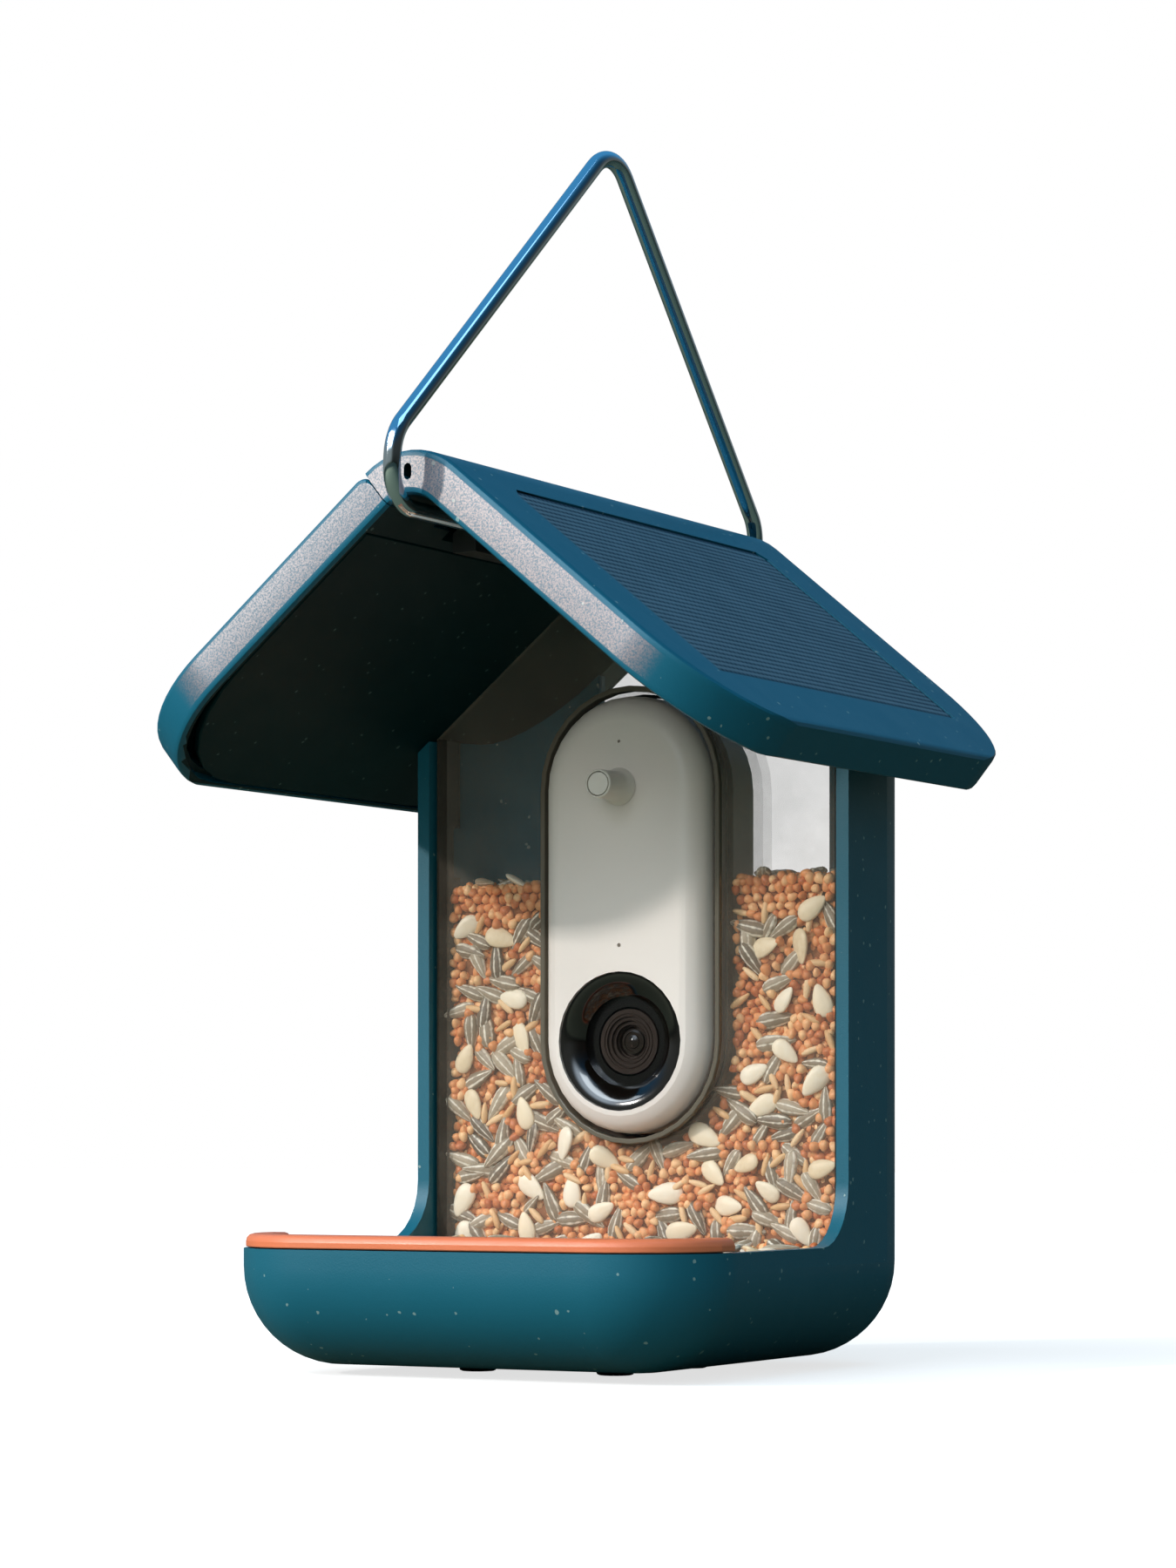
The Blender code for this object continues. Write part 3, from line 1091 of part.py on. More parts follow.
def seed_lump(a, b):
    # Depth below the highest seed: one lump and one hollow in each pitch, both ways
    turn = 2 * math.pi / SEED_LUMP_PITCH
    return SEED_LUMP_DEPTH * (1 + math.sin(turn * a) * math.sin(turn * b)) / 2


def lumpy_tool(range_a, range_b, near, far):
    # Closed tool between a lumpy side and a flat side; near and far give the place for two coordinates
    step = SEED_LUMP_PITCH / 2
    across, along = ([(i + 1 / 2) * step for i in range(math.floor(low / step), math.ceil(high / step))]
                     for low, high in (range_a, range_b))
    shape = bmesh.new()
    sides = [[[shape.verts.new(place(a, b)) for b in along] for a in across] for place in (near, far)]
    for grid in sides:
        for left, right in zip(grid, grid[1:]):
            for i in range(len(along) - 1):
                shape.faces.new((left[i], right[i], right[i + 1]))
                shape.faces.new((left[i], right[i + 1], left[i + 1]))
    loops = []
    for grid in sides:
        loops.append(grid[0] + [row[-1] for row in grid[1:-1]] + grid[-1][::-1] + [row[0] for row in grid[-2:0:-1]])
    for i in range(len(loops[0])):
        shape.faces.new((loops[0][i - 1], loops[0][i], loops[1][i], loops[1][i - 1]))
    bmesh.ops.recalc_face_normals(shape, faces=shape.faces)
    return shape


def tray_seed_height(x, y):
    # The seed in the tray lies a little higher towards the window it runs out of
    heap = TRAY_SEED_HEAP * math.exp(-((WINDOW_FRONT_Y - y) / TRAY_SEED_HEAP_RUN) ** 2)
    return TRAY_SEED_TOP + heap + SEED_LUMP_DEPTH / 2 - seed_lump(x, y)


def make_hopper_seed(look):
    rear = HOUSE_LENGTH / 2
    edge = HOUSE_WALL + 2 * GAP
    reach = HOUSE_HALF_WIDTH + SEED_LUMP_PITCH
    wide = (-reach, reach)
    tall = (-SEED_LUMP_PITCH, HOPPER_SEED_TOP + SEED_LUMP_PITCH)
    front = WINDOW_BACK_Y + GAP
    back = rear - edge
    inner = half_width(FLANGE_BACK_Y, HOUSE_WALL) - GAP - WINDOW_FLANGE - GAP
    seed = add_object("hopper_seed", tub(edge, WINDOW_BOTTOM + GAP, HOPPER_SEED_TOP + SEED_LUMP_DEPTH), look)
    cut(seed, "seed_front_limit",
        lumpy_tool(wide, tall, lambda x, z: (x, front + seed_lump(x, z), z), lambda x, z: (x, -FAR, z)))
    cut(seed, "seed_flange_limits", block((-FAR, 0, 0), (-inner, FLANGE_BACK_Y + GAP, HOUSE_TOP)),
        block((inner, 0, 0), (FAR, FLANGE_BACK_Y + GAP, HOUSE_TOP)))
    slope = (RAMP_TOP - TRAY_FLOOR_TOP) / (rear - RAMP_START_Y)
    lift = 2 * GAP
    ramp = [(-FAR, TRAY_FLOOR_TOP + lift), (RAMP_START_Y, TRAY_FLOOR_TOP + lift),
            (RAMP_START_Y + FAR, TRAY_FLOOR_TOP + lift + FAR * slope), (RAMP_START_Y + FAR, -FAR), (-FAR, -FAR)]
    cut(seed, "seed_ramp_limit", prism(ramp, "X", -FAR, FAR))
    top = HOPPER_SEED_TOP + SEED_LUMP_DEPTH / 2
    cut(seed, "seed_top_limit",
        lumpy_tool(wide, (0, rear + SEED_LUMP_PITCH), lambda x, y: (x, y, top - seed_lump(x, y)),
                   lambda x, y: (x, y, HOUSE_TOP)))
    opening = (-REAR_OPENING_HALF_WIDTH, REAR_OPENING_HALF_WIDTH)
    cut(seed, "seed_rear_limit",
        lumpy_tool(opening, (REAR_SILL_HEIGHT, HOUSE_TOP), lambda x, z: (x, back - seed_lump(x, z), z),
                   lambda x, z: (x, FAR, z)))
    hole = capsule(POCKET_RADIUS + POCKET_WALL + GAP)
    cut(seed, "seed_pocket_limit", prism(hole, "Y", -FAR, POCKET_BACK_Y + POCKET_WALL + GAP))


def make_tray_seed(look):
    inset = HOUSE_WALL + PERCH_LIP + 3 * GAP
    rear = WINDOW_FRONT_Y - GAP
    reach = HOUSE_HALF_WIDTH + SEED_LUMP_PITCH
    wide = (-reach, reach)
    deep = (-HOUSE_LENGTH / 2, WINDOW_BACK_Y + SEED_LUMP_PITCH)
    highest = TRAY_SEED_TOP + TRAY_SEED_HEAP + SEED_LUMP_DEPTH
    seed = add_object("tray_seed", tub(inset, TRAY_FLOOR_TOP + GAP, highest), look)
    cut(seed, "tray_seed_limit", block((-FAR, rear, 0), (FAR, FAR, HOUSE_TOP)))
    cut(seed, "tray_seed_surface",
        lumpy_tool(wide, deep, lambda x, y: (x, y, tray_seed_height(x, y)), lambda x, y: (x, y, HOUSE_TOP)))


clear_scene()
lid_hinge = add_pivot("lid_hinge", hinge_place())
hanger_pivot = add_pivot("hanger_pivot", Vector((0, 0, WIRE_AXIS_HEIGHT)))
camera_slide = add_pivot("camera_slide", Vector((0, MODULE_BACK_Y, (CAPSULE_LOW + CAPSULE_HIGH) / 2)))
button_slide = add_pivot("button_slide", Vector((0, MODULE_BACK_Y, CAPSULE_HIGH + BUTTON_RISE)))
perch_seat = add_pivot("perch_seat", Vector((0, -HOUSE_LENGTH / 2, RIM_HEIGHT)))

make_house()
make_feet_and_mount()
make_windows()
make_pocket()
make_roof()
make_solar_panel()
make_lid(lid_hinge)
make_beam()
make_hanger(hanger_pivot)
make_module_shells(camera_slide)
make_lens(camera_slide)
make_sensor_stem(camera_slide)
make_electronics(camera_slide)
make_button(button_slide)
make_tray_floor()
make_perch(perch_seat)
SEED_LOOK = ((0.36, 0.17, 0.07), 0.8)
make_hopper_seed(SEED_LOOK)
make_tray_seed(SEED_LOOK)
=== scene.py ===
import json
import math
import bpy
import bmesh
import numpy as np
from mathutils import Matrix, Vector


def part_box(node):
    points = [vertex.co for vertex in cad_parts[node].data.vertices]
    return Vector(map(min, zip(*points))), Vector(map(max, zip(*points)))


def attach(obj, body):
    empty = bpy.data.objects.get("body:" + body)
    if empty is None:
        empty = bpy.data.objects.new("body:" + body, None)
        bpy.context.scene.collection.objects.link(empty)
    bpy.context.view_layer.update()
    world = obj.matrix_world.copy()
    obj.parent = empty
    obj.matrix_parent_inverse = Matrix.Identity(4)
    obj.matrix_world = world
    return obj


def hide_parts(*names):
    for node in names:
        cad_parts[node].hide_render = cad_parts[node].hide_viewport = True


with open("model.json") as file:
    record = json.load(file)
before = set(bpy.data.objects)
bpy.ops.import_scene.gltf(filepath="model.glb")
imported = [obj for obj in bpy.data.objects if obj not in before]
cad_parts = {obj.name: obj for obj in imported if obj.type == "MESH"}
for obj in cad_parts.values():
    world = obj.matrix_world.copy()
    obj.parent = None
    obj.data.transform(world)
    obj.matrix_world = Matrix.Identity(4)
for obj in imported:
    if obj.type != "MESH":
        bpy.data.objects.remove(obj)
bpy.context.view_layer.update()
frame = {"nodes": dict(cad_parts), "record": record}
mm = 0.001

bodyOf = {n: b for b, names in frame["record"]["behaviour"]["bodies"].items() for n in names}
slotOf = {s["node"]: s["material_slot"] for s in frame["record"]["subparts"]}


def startMaterial(name):
    mat = bpy.data.materials.new(name)
    mat.use_nodes = True
    return mat, mat.node_tree, mat.node_tree.nodes["Principled BSDF"]


def add(tree, kind, inputs=None, **settings):
    # new node; an input that comes from another node is linked, any other value is set
    n = tree.nodes.new(kind)
    for key, value in settings.items():
        setattr(n, key, value)
    for key, value in (inputs or {}).items():
        if hasattr(value, "is_linked"):
            tree.links.new(value, n.inputs[key])
        else:
            n.inputs[key].default_value = value
    return n


def math2(tree, operation, a, b=0.0):
    return add(tree, "ShaderNodeMath", {0: a, 1: b}, operation=operation).outputs[0]


def ramp(tree, value, low, high, outLow=0.0, outHigh=1.0):
    # smooth change of a value between two limits
    return add(tree, "ShaderNodeMapRange", {"Value": value, "From Min": low, "From Max": high,
                                            "To Min": outLow, "To Max": outHigh},
               interpolation_type="SMOOTHSTEP").outputs["Result"]


def mixColour(tree, factor, a, b):
    return add(tree, "ShaderNodeMix", {0: factor, 6: a, 7: b}, data_type="RGBA").outputs[2]


def rgb(r, g, b):
    # colour written as it shows on screen, 0 to 255
    return tuple(((c / 255 + 0.055) / 1.055) ** 2.4 if c > 10 else c / 255 / 12.92
                 for c in (r, g, b)) + (1.0,)


def objectPlace(tree):
    return add(tree, "ShaderNodeTexCoord").outputs["Object"]


def newGroup(name, ins, outs):
    group = bpy.data.node_groups.new(name, "ShaderNodeTree")
    for label, kind, value in ins:
        s = group.interface.new_socket(label, in_out="INPUT", socket_type=kind)
        if value is not None:
            s.default_value = value
    for label, kind in outs:
        group.interface.new_socket(label, in_out="OUTPUT", socket_type=kind)
    entry, leave = group.nodes.new("NodeGroupInput"), group.nodes.new("NodeGroupOutput")
    return group, entry.outputs, leave.inputs


fleckShape = {"warpScale": 900.0, "warpReach": 0.6 * mm}


def buildFlecks():
    # sparse light flecks: in a few of the cells of a cell pattern, a spot round the cell's point
    g, i, o = newGroup("recycledFlecks",
                       [("Vector", "NodeSocketVector", None), ("Scale", "NodeSocketFloat", 300.0),
                        ("Share", "NodeSocketFloat", 0.05), ("Size", "NodeSocketFloat", 0.2)],
                       [("Mask", "NodeSocketFloat")])
    reach = (fleckShape["warpReach"],) * 3
    warp = add(g, "ShaderNodeTexNoise",
               {"Vector": i["Vector"], "Scale": fleckShape["warpScale"], "Detail": 1.0})
    offset = add(g, "ShaderNodeVectorMath", {0: warp.outputs["Color"], 1: reach},
                 operation="MULTIPLY")
    warped = add(g, "ShaderNodeVectorMath", {0: i["Vector"], 1: offset.outputs[0]}, operation="ADD")
    cells = add(g, "ShaderNodeTexVoronoi", {"Vector": warped.outputs[0], "Scale": i["Scale"]})
    sep = add(g, "ShaderNodeSeparateColor", {0: cells.outputs["Color"]})
    chosen = math2(g, "LESS_THAN", sep.outputs[0], i["Share"])
    size = math2(g, "MULTIPLY", i["Size"], sep.outputs[1])
    inSpot = math2(g, "LESS_THAN", cells.outputs["Distance"], size)
    g.links.new(math2(g, "MULTIPLY", chosen, inSpot), o["Mask"])
    return g


grainShape = {"slowScale": 22.0, "wideScale": 70.0, "wideRoughness": 0.65}


def buildGrain():
    # moulded grain: fine noise as height, slow noise as change of shade, wide noise for roughness
    g, i, o = newGroup("mouldGrain",
                       [("Vector", "NodeSocketVector", None), ("Scale", "NodeSocketFloat", 2500.0),
                        ("Drift", "NodeSocketFloat", 0.08)],
                       [("Height", "NodeSocketFloat"), ("Shade", "NodeSocketFloat"),
                        ("Smear", "NodeSocketFloat")])
    k = grainShape
    fine = add(g, "ShaderNodeTexNoise", {"Vector": i["Vector"], "Scale": i["Scale"], "Detail": 3.0})
    slow = add(g, "ShaderNodeTexNoise",
               {"Vector": i["Vector"], "Scale": k["slowScale"], "Detail": 4.0})
    wide = add(g, "ShaderNodeTexNoise",
               {"Vector": i["Vector"], "Scale": k["wideScale"], "Detail": 5.0,
                "Roughness": k["wideRoughness"]})
    centred = math2(g, "SUBTRACT", slow.outputs[0], 0.5)
    g.links.new(fine.outputs[0], o["Height"])
    g.links.new(math2(g, "ADD", math2(g, "MULTIPLY", centred, i["Drift"]), 1.0), o["Shade"])
    g.links.new(wide.outputs[0], o["Smear"])
    return g


flecks = buildFlecks()
grain = buildGrain()
noiseSpan = (0.3, 0.7)  # nearly all of a noise lies between these
bumpReach = 0.3 * mm


def place(tree, group, **values):
    return add(tree, "ShaderNodeGroup", values, node_tree=group)


def shaded(tree, colour, shade):
    # colour times a slowly changing shade
    start = colour if hasattr(colour, "is_linked") else colour[:3]
    return add(tree, "ShaderNodeVectorMath", {0: start, 1: shade}, operation="MULTIPLY").outputs[0]


def finishSurface(tree, shader, colour, height, smear, rough, spread, bump):
    uneven = ramp(tree, smear, *noiseSpan, rough - spread, rough + spread)
    tree.links.new(colour, shader.inputs["Base Color"])
    tree.links.new(uneven, shader.inputs["Roughness"])
    lift = add(tree, "ShaderNodeBump", {"Height": height, "Strength": bump, "Distance": bumpReach})
    tree.links.new(lift.outputs[0], shader.inputs["Normal"])


def plainPlastic(name, colour, rough=0.45, spread=0.06, bump=0.12, scale=2500.0, drift=0.1,
                 specular=0.5, metallic=0.0, ior=1.5):
    mat, tree, shader = startMaterial(name)
    g = place(tree, grain, Vector=objectPlace(tree), Scale=scale, Drift=drift)
    finishSurface(tree, shader, shaded(tree, colour, g.outputs["Shade"]), g.outputs["Height"],
                  g.outputs["Smear"], rough, spread, bump)
    shader.inputs["Specular IOR Level"].default_value = specular
    shader.inputs["Metallic"].default_value = metallic
    shader.inputs["IOR"].default_value = ior
    return mat


def polishedMetal(name, colour, rough, spread=0.05, bump=0.03):
    return plainPlastic(name, colour, rough, spread, bump, 1800.0, 0.05, metallic=1.0)


bluePaint = {
    "house": rgb(20, 98, 118), "roof": rgb(10, 94, 118), "roughness": 0.46, "spread": 0.02,
    "bump": 0.16, "grain": 2200.0, "drift": 0.12,
    "fleck": rgb(150, 178, 176), "fleckShare": 0.85, "fleckSize": 0.14, "smallScale": 260.0,
    "largeScale": 150.0, "largeShare": 0.35, "largeSize": 0.8,
    # warm tint and its share, painted on the roof's end faces as sheen; facing picks those faces
    "gableSheen": rgb(170, 104, 74), "gableSheenShare": 0.5, "facing": (0.93, 0.99), "mottleScale": 1900.0,
    "mottle": (0.37, 0.63, 0.28, 1.0), "coatRoughness": 0.42, "coatIor": 2.25,
}


def recycledPlastic(name, colour, gableSheen=0.0, specular=0.35, fleck=0.7):
    # moulded plastic with light flecks; the roof's end faces have a rough, grainy coat that glares,
    # and a warm tint painted into their colour as painted sheen
    p = bluePaint
    mat, tree, shader = startMaterial(name)
    where = objectPlace(tree)
    g = place(tree, grain, Vector=where, Scale=p["grain"], Drift=p["drift"])
    body = shaded(tree, colour, g.outputs["Shade"])
    small = place(tree, flecks, Vector=where, Scale=p["smallScale"], Share=p["fleckShare"],
                  Size=p["fleckSize"])
    large = place(tree, flecks, Vector=where, Scale=p["largeScale"],
                  Share=p["fleckShare"] * p["largeShare"], Size=p["fleckSize"] * p["largeSize"])
    mask = math2(tree, "MAXIMUM", small.outputs[0], large.outputs[0])
    body = mixColour(tree, math2(tree, "MULTIPLY", mask, fleck), body, p["fleck"])
    if gableSheen:
        front = add(tree, "ShaderNodeAttribute", attribute_name="frontness").outputs["Fac"]
        dots = add(tree, "ShaderNodeTexNoise",
                   {"Vector": where, "Scale": p["mottleScale"], "Detail": 3.0, "Roughness": 0.75})
        mottle = ramp(tree, dots.outputs[0], *p["mottle"])
        face = math2(tree, "MULTIPLY", ramp(tree, front, *p["facing"], 0.0, gableSheen), mottle)
        # painted sheen: on the end faces the blue is mixed towards a warm tint so that their glare
        # reads neutral
        body = mixColour(tree, math2(tree, "MULTIPLY", face, p["gableSheenShare"]), body, p["gableSheen"])
        tree.links.new(face, shader.inputs["Coat Weight"])
        shader.inputs["Coat Roughness"].default_value = p["coatRoughness"]
        shader.inputs["Coat IOR"].default_value = p["coatIor"]
    finishSurface(tree, shader, body, g.outputs["Height"], g.outputs["Smear"], p["roughness"],
                  p["spread"], p["bump"])
    shader.inputs["Specular IOR Level"].default_value = specular
    return mat


clearSheet = {"scale": 900.0, "drift": 0.05, "uneven": (0.8, 1.2), "blend": 0.35,
              "slant": (0.1, 1.0)}


def clearPlastic(name, colour, rough, cover, edgeCover, specular=0.8):
    # thin clear sheet: it covers little of what is behind it seen straight on, and more at a slant
    p = clearSheet
    mat, tree, shader = startMaterial(name)
    g = place(tree, grain, Vector=objectPlace(tree), Scale=p["scale"], Drift=p["drift"])
    tree.links.new(shaded(tree, colour, g.outputs["Shade"]), shader.inputs["Base Color"])
    smear, (less, more) = g.outputs["Smear"], p["uneven"]
    uneven = ramp(tree, smear, *noiseSpan, rough * less, rough * more)
    tree.links.new(uneven, shader.inputs["Roughness"])
    slant = add(tree, "ShaderNodeLayerWeight", {"Blend": p["blend"]}).outputs["Facing"]
    haze = math2(tree, "MULTIPLY", ramp(tree, smear, *noiseSpan, less, more),
                 ramp(tree, slant, *p["slant"], cover, edgeCover))
    tree.links.new(haze, shader.inputs["Alpha"])
    shader.inputs["Specular IOR Level"].default_value = specular
    return mat


solarRibs = {"pitch": 2.2 * mm, "rise": 0.18 * mm, "steps": 5, "crossShare": 0.62,
             "borderRise": 0.3, "valleyShade": rgb(10, 32, 50), "crest": rgb(88, 116, 132),
             "crestSpan": (0.2, 0.75), "roughness": 0.5, "specular": 0.12}


def ribbedCover(name):
    # colour follows the rib height: dark in the valleys between the ribs, partly the cover's own
    # pattern and partly painted shade, lighter blue on their crests
    p = solarRibs
    mat, tree, shader = startMaterial(name)
    g = place(tree, grain, Vector=objectPlace(tree), Scale=1800.0, Drift=0.2)
    rise = add(tree, "ShaderNodeAttribute", attribute_name="rise").outputs["Fac"]
    colour = mixColour(tree, ramp(tree, rise, *p["crestSpan"]), p["valleyShade"], p["crest"])
    finishSurface(tree, shader, shaded(tree, colour, g.outputs["Shade"]), g.outputs["Height"],
                  g.outputs["Smear"], p["roughness"], 0.06, 0.05)
    shader.inputs["Specular IOR Level"].default_value = p["specular"]
    return mat


# after the colour come roughness, its spread and the bump; for clear ones roughness, cover and
# edge cover
finishes = {
    "house": recycledPlastic("blue recycled plastic", bluePaint["house"]),
    "roof_blue": recycledPlastic("roof blue plastic", bluePaint["roof"], 1.0),
    "liner": recycledPlastic("liner plastic", rgb(1, 38, 42), specular=0.1, fleck=0.2),
    "clear_window": clearPlastic("window plastic", rgb(244, 226, 204), 0.06, 0.05, 0.34, 0.25),
    "pocket_clear": clearPlastic("pocket plastic", rgb(206, 206, 198), 0.2, 0.1, 0.3, 0.25),
    "window_ring": plainPlastic("ring plastic", rgb(108, 102, 90), 0.14, 0.04, 0.03),
    # dark side flanges of the window: painted shade
    "window_flange_shade": plainPlastic("flange plastic", rgb(34, 44, 42), 0.2, 0.04, 0.03, specular=0.3),
    "frosted_window": clearPlastic("frosted plastic", rgb(232, 234, 228), 0.5, 0.15, 0.3),
    "dark_plastic": plainPlastic("dark plastic", rgb(40, 42, 44), 0.5),
    "seal_rubber": plainPlastic("seal rubber", rgb(30, 30, 31), 0.75, 0.08, 0.2),
    "foot_rubber": plainPlastic("foot rubber", rgb(34, 36, 35), 0.8, 0.08, 0.3),
    "insert_brass": polishedMetal("turned brass", rgb(196, 160, 92), 0.3),
    "screw_steel": polishedMetal("plated steel", rgb(170, 172, 175), 0.3),
    "wire_steel": polishedMetal("polished wire", rgb(214, 226, 236), 0.09, 0.02, 0.0),
    "solar_cells": plainPlastic("dark cells", rgb(22, 34, 54), 0.3),
    "solar_cover": ribbedCover("ribbed cover"),
    "camera_white": plainPlastic("white shell", rgb(240, 232, 225), 0.36, 0.05, 0.06, 3000.0, 0.04),
    "lens_black": plainPlastic("lens black", rgb(14, 10, 8), 0.1, 0.03, 0.0, ior=1.7),
    "lens_eye": plainPlastic("eye glass", rgb(44, 36, 30), 0.04, 0.01, 0.0),
    "lens_rings": plainPlastic("ring black", rgb(50, 38, 30), 0.55, 0.05, 0.02, specular=0.2),
    "lens_glass": clearPlastic("lens glass", rgb(10, 11, 16), 0.03, 0.10, 0.5),
    "sensor_white": plainPlastic("sensor white", rgb(236, 231, 222), 0.34, 0.05, 0.05, 3000.0,
                                 0.04),
    "board_green": plainPlastic("board mask", rgb(26, 92, 58), 0.45),
    "battery_wrap": plainPlastic("battery wrap", rgb(120, 124, 130), 0.4),
    "button_grey": plainPlastic("button grey", rgb(96, 98, 100), 0.45),
    "perch_orange": plainPlastic("perch orange", rgb(232, 126, 84), 0.4, 0.06, 0.14),
    "seed_mix": plainPlastic("seed core", rgb(140, 80, 40), 0.8),
}
# the lid's end face gets less coat and less painted sheen than the roof's
lidPaint = recycledPlastic("lid blue plastic", bluePaint["roof"], 0.8)
print("materials made", len(finishes))


def addObject(name, data):
    o = bpy.data.objects.new(name, data)
    bpy.context.collection.objects.link(o)
    return o


roof = {"apex": 240.2 * mm, "pitch": math.radians(39.4), "half": 88.5 * mm, "slope": 120.3 * mm,
        "corner": 36 * mm, "rim": 2 * mm}
# outlines round the camera module: two half circles, whose centres lie at these heights
capsule = {"low": 88.3 * mm, "high": 157.5 * mm, "ring": 28.2 * mm, "pocket": 29.6 * mm}
flange = {"side": 57 * mm, "depth": 28.6 * mm}
copying = {"join": 2e-6, "flat": math.radians(0.6), "sharp": math.radians(30),
           "edgeSharp": math.radians(35), "edgeSteps": 2, "faceWeight": 60}
# limits of a face's normal: its y for an end face and for a front face, its z for an underside
facing = {"end": 0.99, "front": -0.999, "under": 0.3}
ringFaced = ("roof_shell", "lid_shell")  # only their end faces are merged: their slopes have holes


def mergedCopy(nodeName, shrink):
    # copy of a node in which flat neighbours are one face, moved inward by shrink
    holed = nodeName in ringFaced
    bm = bmesh.new()
    bm.from_mesh(frame["nodes"][nodeName].data)
    bmesh.ops.remove_doubles(bm, verts=bm.verts, dist=copying["join"])
    edges = [e for e in bm.edges
             if not holed or all(abs(f.normal.y) > facing["end"] for f in e.link_faces)]
    bmesh.ops.dissolve_limit(bm, angle_limit=copying["flat"], verts=[] if holed else bm.verts,
                             edges=edges, delimit={"NORMAL"})
    bm.normal_update()
    if shrink:
        for v in bm.verts:
            v.co -= v.normal * shrink
    mesh = bpy.data.meshes.new(nodeName + "_skin")
    bm.to_mesh(mesh)
    bm.free()
    mesh.shade_smooth()
    mesh.set_sharp_from_angle(angle=copying["sharp"])
    return mesh


def faceRows(mesh, field):
    values = np.zeros(len(mesh.polygons) * 3)
    mesh.polygons.foreach_get(field, values)
    return values.reshape(-1, 3).T


def markFront(mesh):
    # how far each corner looks to the front: wholly on a flat end face, not at all in the back half
    normals = np.zeros(len(mesh.loops) * 3)
    mesh.corner_normals.foreach_get("vector", normals)
    sides = np.array([len(f.vertices) for f in mesh.polygons])
    flat = np.repeat(faceRows(mesh, "normal")[1], sides) < facing["front"]
    ahead = np.repeat(faceRows(mesh, "center")[1] < 0, sides)
    front = mesh.attributes.new("frontness", "FLOAT", "CORNER")
    front.data.foreach_set("value", np.where(flat, 1.0, -normals[1::3]) * ahead)


def markShadedUnderside(mesh):
    # the undersides get the dark liner finish as painted shade under the roof: all faces inside the
    # rounded rim
    mesh.materials.append(finishes["liner"])
    x, y, z = np.abs(faceRows(mesh, "center"))
    sin, cos, r = math.sin(roof["pitch"]), math.cos(roof["pitch"]), roof["corner"]
    deep, along = (roof["apex"] - z) * cos - x * sin, x * cos + (roof["apex"] - z) * sin
    overEnd = np.maximum(y - roof["half"] + r, 0)
    overEave = np.maximum(along - roof["slope"] + r, 0)
    inRound = np.hypot(overEnd, overEave) < r - roof["rim"]
    under = (faceRows(mesh, "normal")[2] < facing["under"]) & (deep > roof["rim"]) & inRound
    mesh.polygons.foreach_set("material_index", under.astype(int))


def markWindow(mesh):
    # the raised ring round the camera has a look of its own; the side flanges get a dark finish,
    # which is painted shade
    mesh.materials.append(finishes["window_ring"])
    mesh.materials.append(finishes["window_flange_shade"])
    spots = np.zeros(len(mesh.vertices) * 3)
    mesh.vertices.foreach_get("co", spots)
    x, y, z = spots.reshape(-1, 3).T
    ring = np.hypot(x, z - np.clip(z, capsule["low"], capsule["high"])) < capsule["ring"]
    side, deep = np.abs(x) > flange["side"], y > flange["depth"]
    corners = [list(f.vertices) for f in mesh.polygons]
    marks = [1 if all(ring[c]) else 2 * int(all(side[c]) and any(deep[c])) for c in corners]
    mesh.polygons.foreach_set("material_index", marks)


def skin(nodeName, finish=None, bevel=0.0, shrink=0.0):
    # merged copy of a node with smooth shading and small rounded edges, shown in its place
    mesh = mergedCopy(nodeName, shrink)
    piece = addObject(nodeName + "_skin", mesh)
    mesh.materials.append(finish or finishes[slotOf[nodeName]])
    if nodeName == "front_window":
        markWindow(mesh)
    if nodeName in ringFaced:
        markFront(mesh)
        markShadedUnderside(mesh)
    if bevel:
        m = piece.modifiers.new("soft edges", "BEVEL")
        m.width, m.segments, m.limit_method = bevel, copying["edgeSteps"], "ANGLE"
        m.angle_limit = copying["edgeSharp"]
        m.harden_normals = True
        m.miter_outer = "MITER_ARC"
    m = piece.modifiers.new("even shading", "WEIGHTED_NORMAL")
    m.keep_sharp = True
    m.weight = copying["faceWeight"]
    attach(piece, bodyOf[nodeName])
    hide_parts(nodeName)


edgeWidths = {
    "house_shell": 0.5, "roof_shell": 0.6, "lid_shell": 0.6, "roof_liner": 0.4, "lid_liner": 0.4,
    "tray_floor": 0.3, "ridge_beam": 0.3, "front_window": 0.25, "rear_window": 0.25,
    "camera_pocket": 0.3, "module_front_shell": 0.25, "module_rear_shell": 0.25, "perch_strip": 0.3,
    "sensor_stem": 0.15, "sensor_cap": 0.15, "power_button": 0.2, "port_cover": 0.2,
    "mount_boss": 0.3, "battery_pack": 0.3, "camera_board": 0.1,
}
ownFinish = {"lid_shell": lidPaint, "camera_pocket": finishes["pocket_clear"]}
madeBelow = ("hanger_wire", "hopper_seed", "tray_seed", "solar_cover", "lens_barrel", "lens_bezel",
             "lens_dome")
for nodeName in bodyOf:
    if nodeName not in madeBelow:
        skin(nodeName, ownFinish.get(nodeName), bevel=edgeWidths.get(nodeName, 0.0) * mm)
print("skins made")


def newPiece(name, verts, faces, finish, body, replaced=None, angle=None):
    mesh = bpy.data.meshes.new(name)
    mesh.from_pydata([tuple(v) for v in verts], [], [tuple(f) for f in faces])
    mesh.shade_smooth()
    if angle:
        mesh.set_sharp_from_angle(angle=angle)
    mesh.materials.append(finish)
    piece = addObject(name, mesh)
    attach(piece, body)
    if replaced:
        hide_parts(replaced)
    return piece


def gridFaces(rows, cols):
    # quads of a grid of points numbered row by row
    r, c = np.meshgrid(np.arange(rows - 1), np.arange(cols - 1), indexing="ij")
    a = (r * cols + c).ravel()
    return np.stack([a, a + cols, a + cols + 1, a + 1], 1)


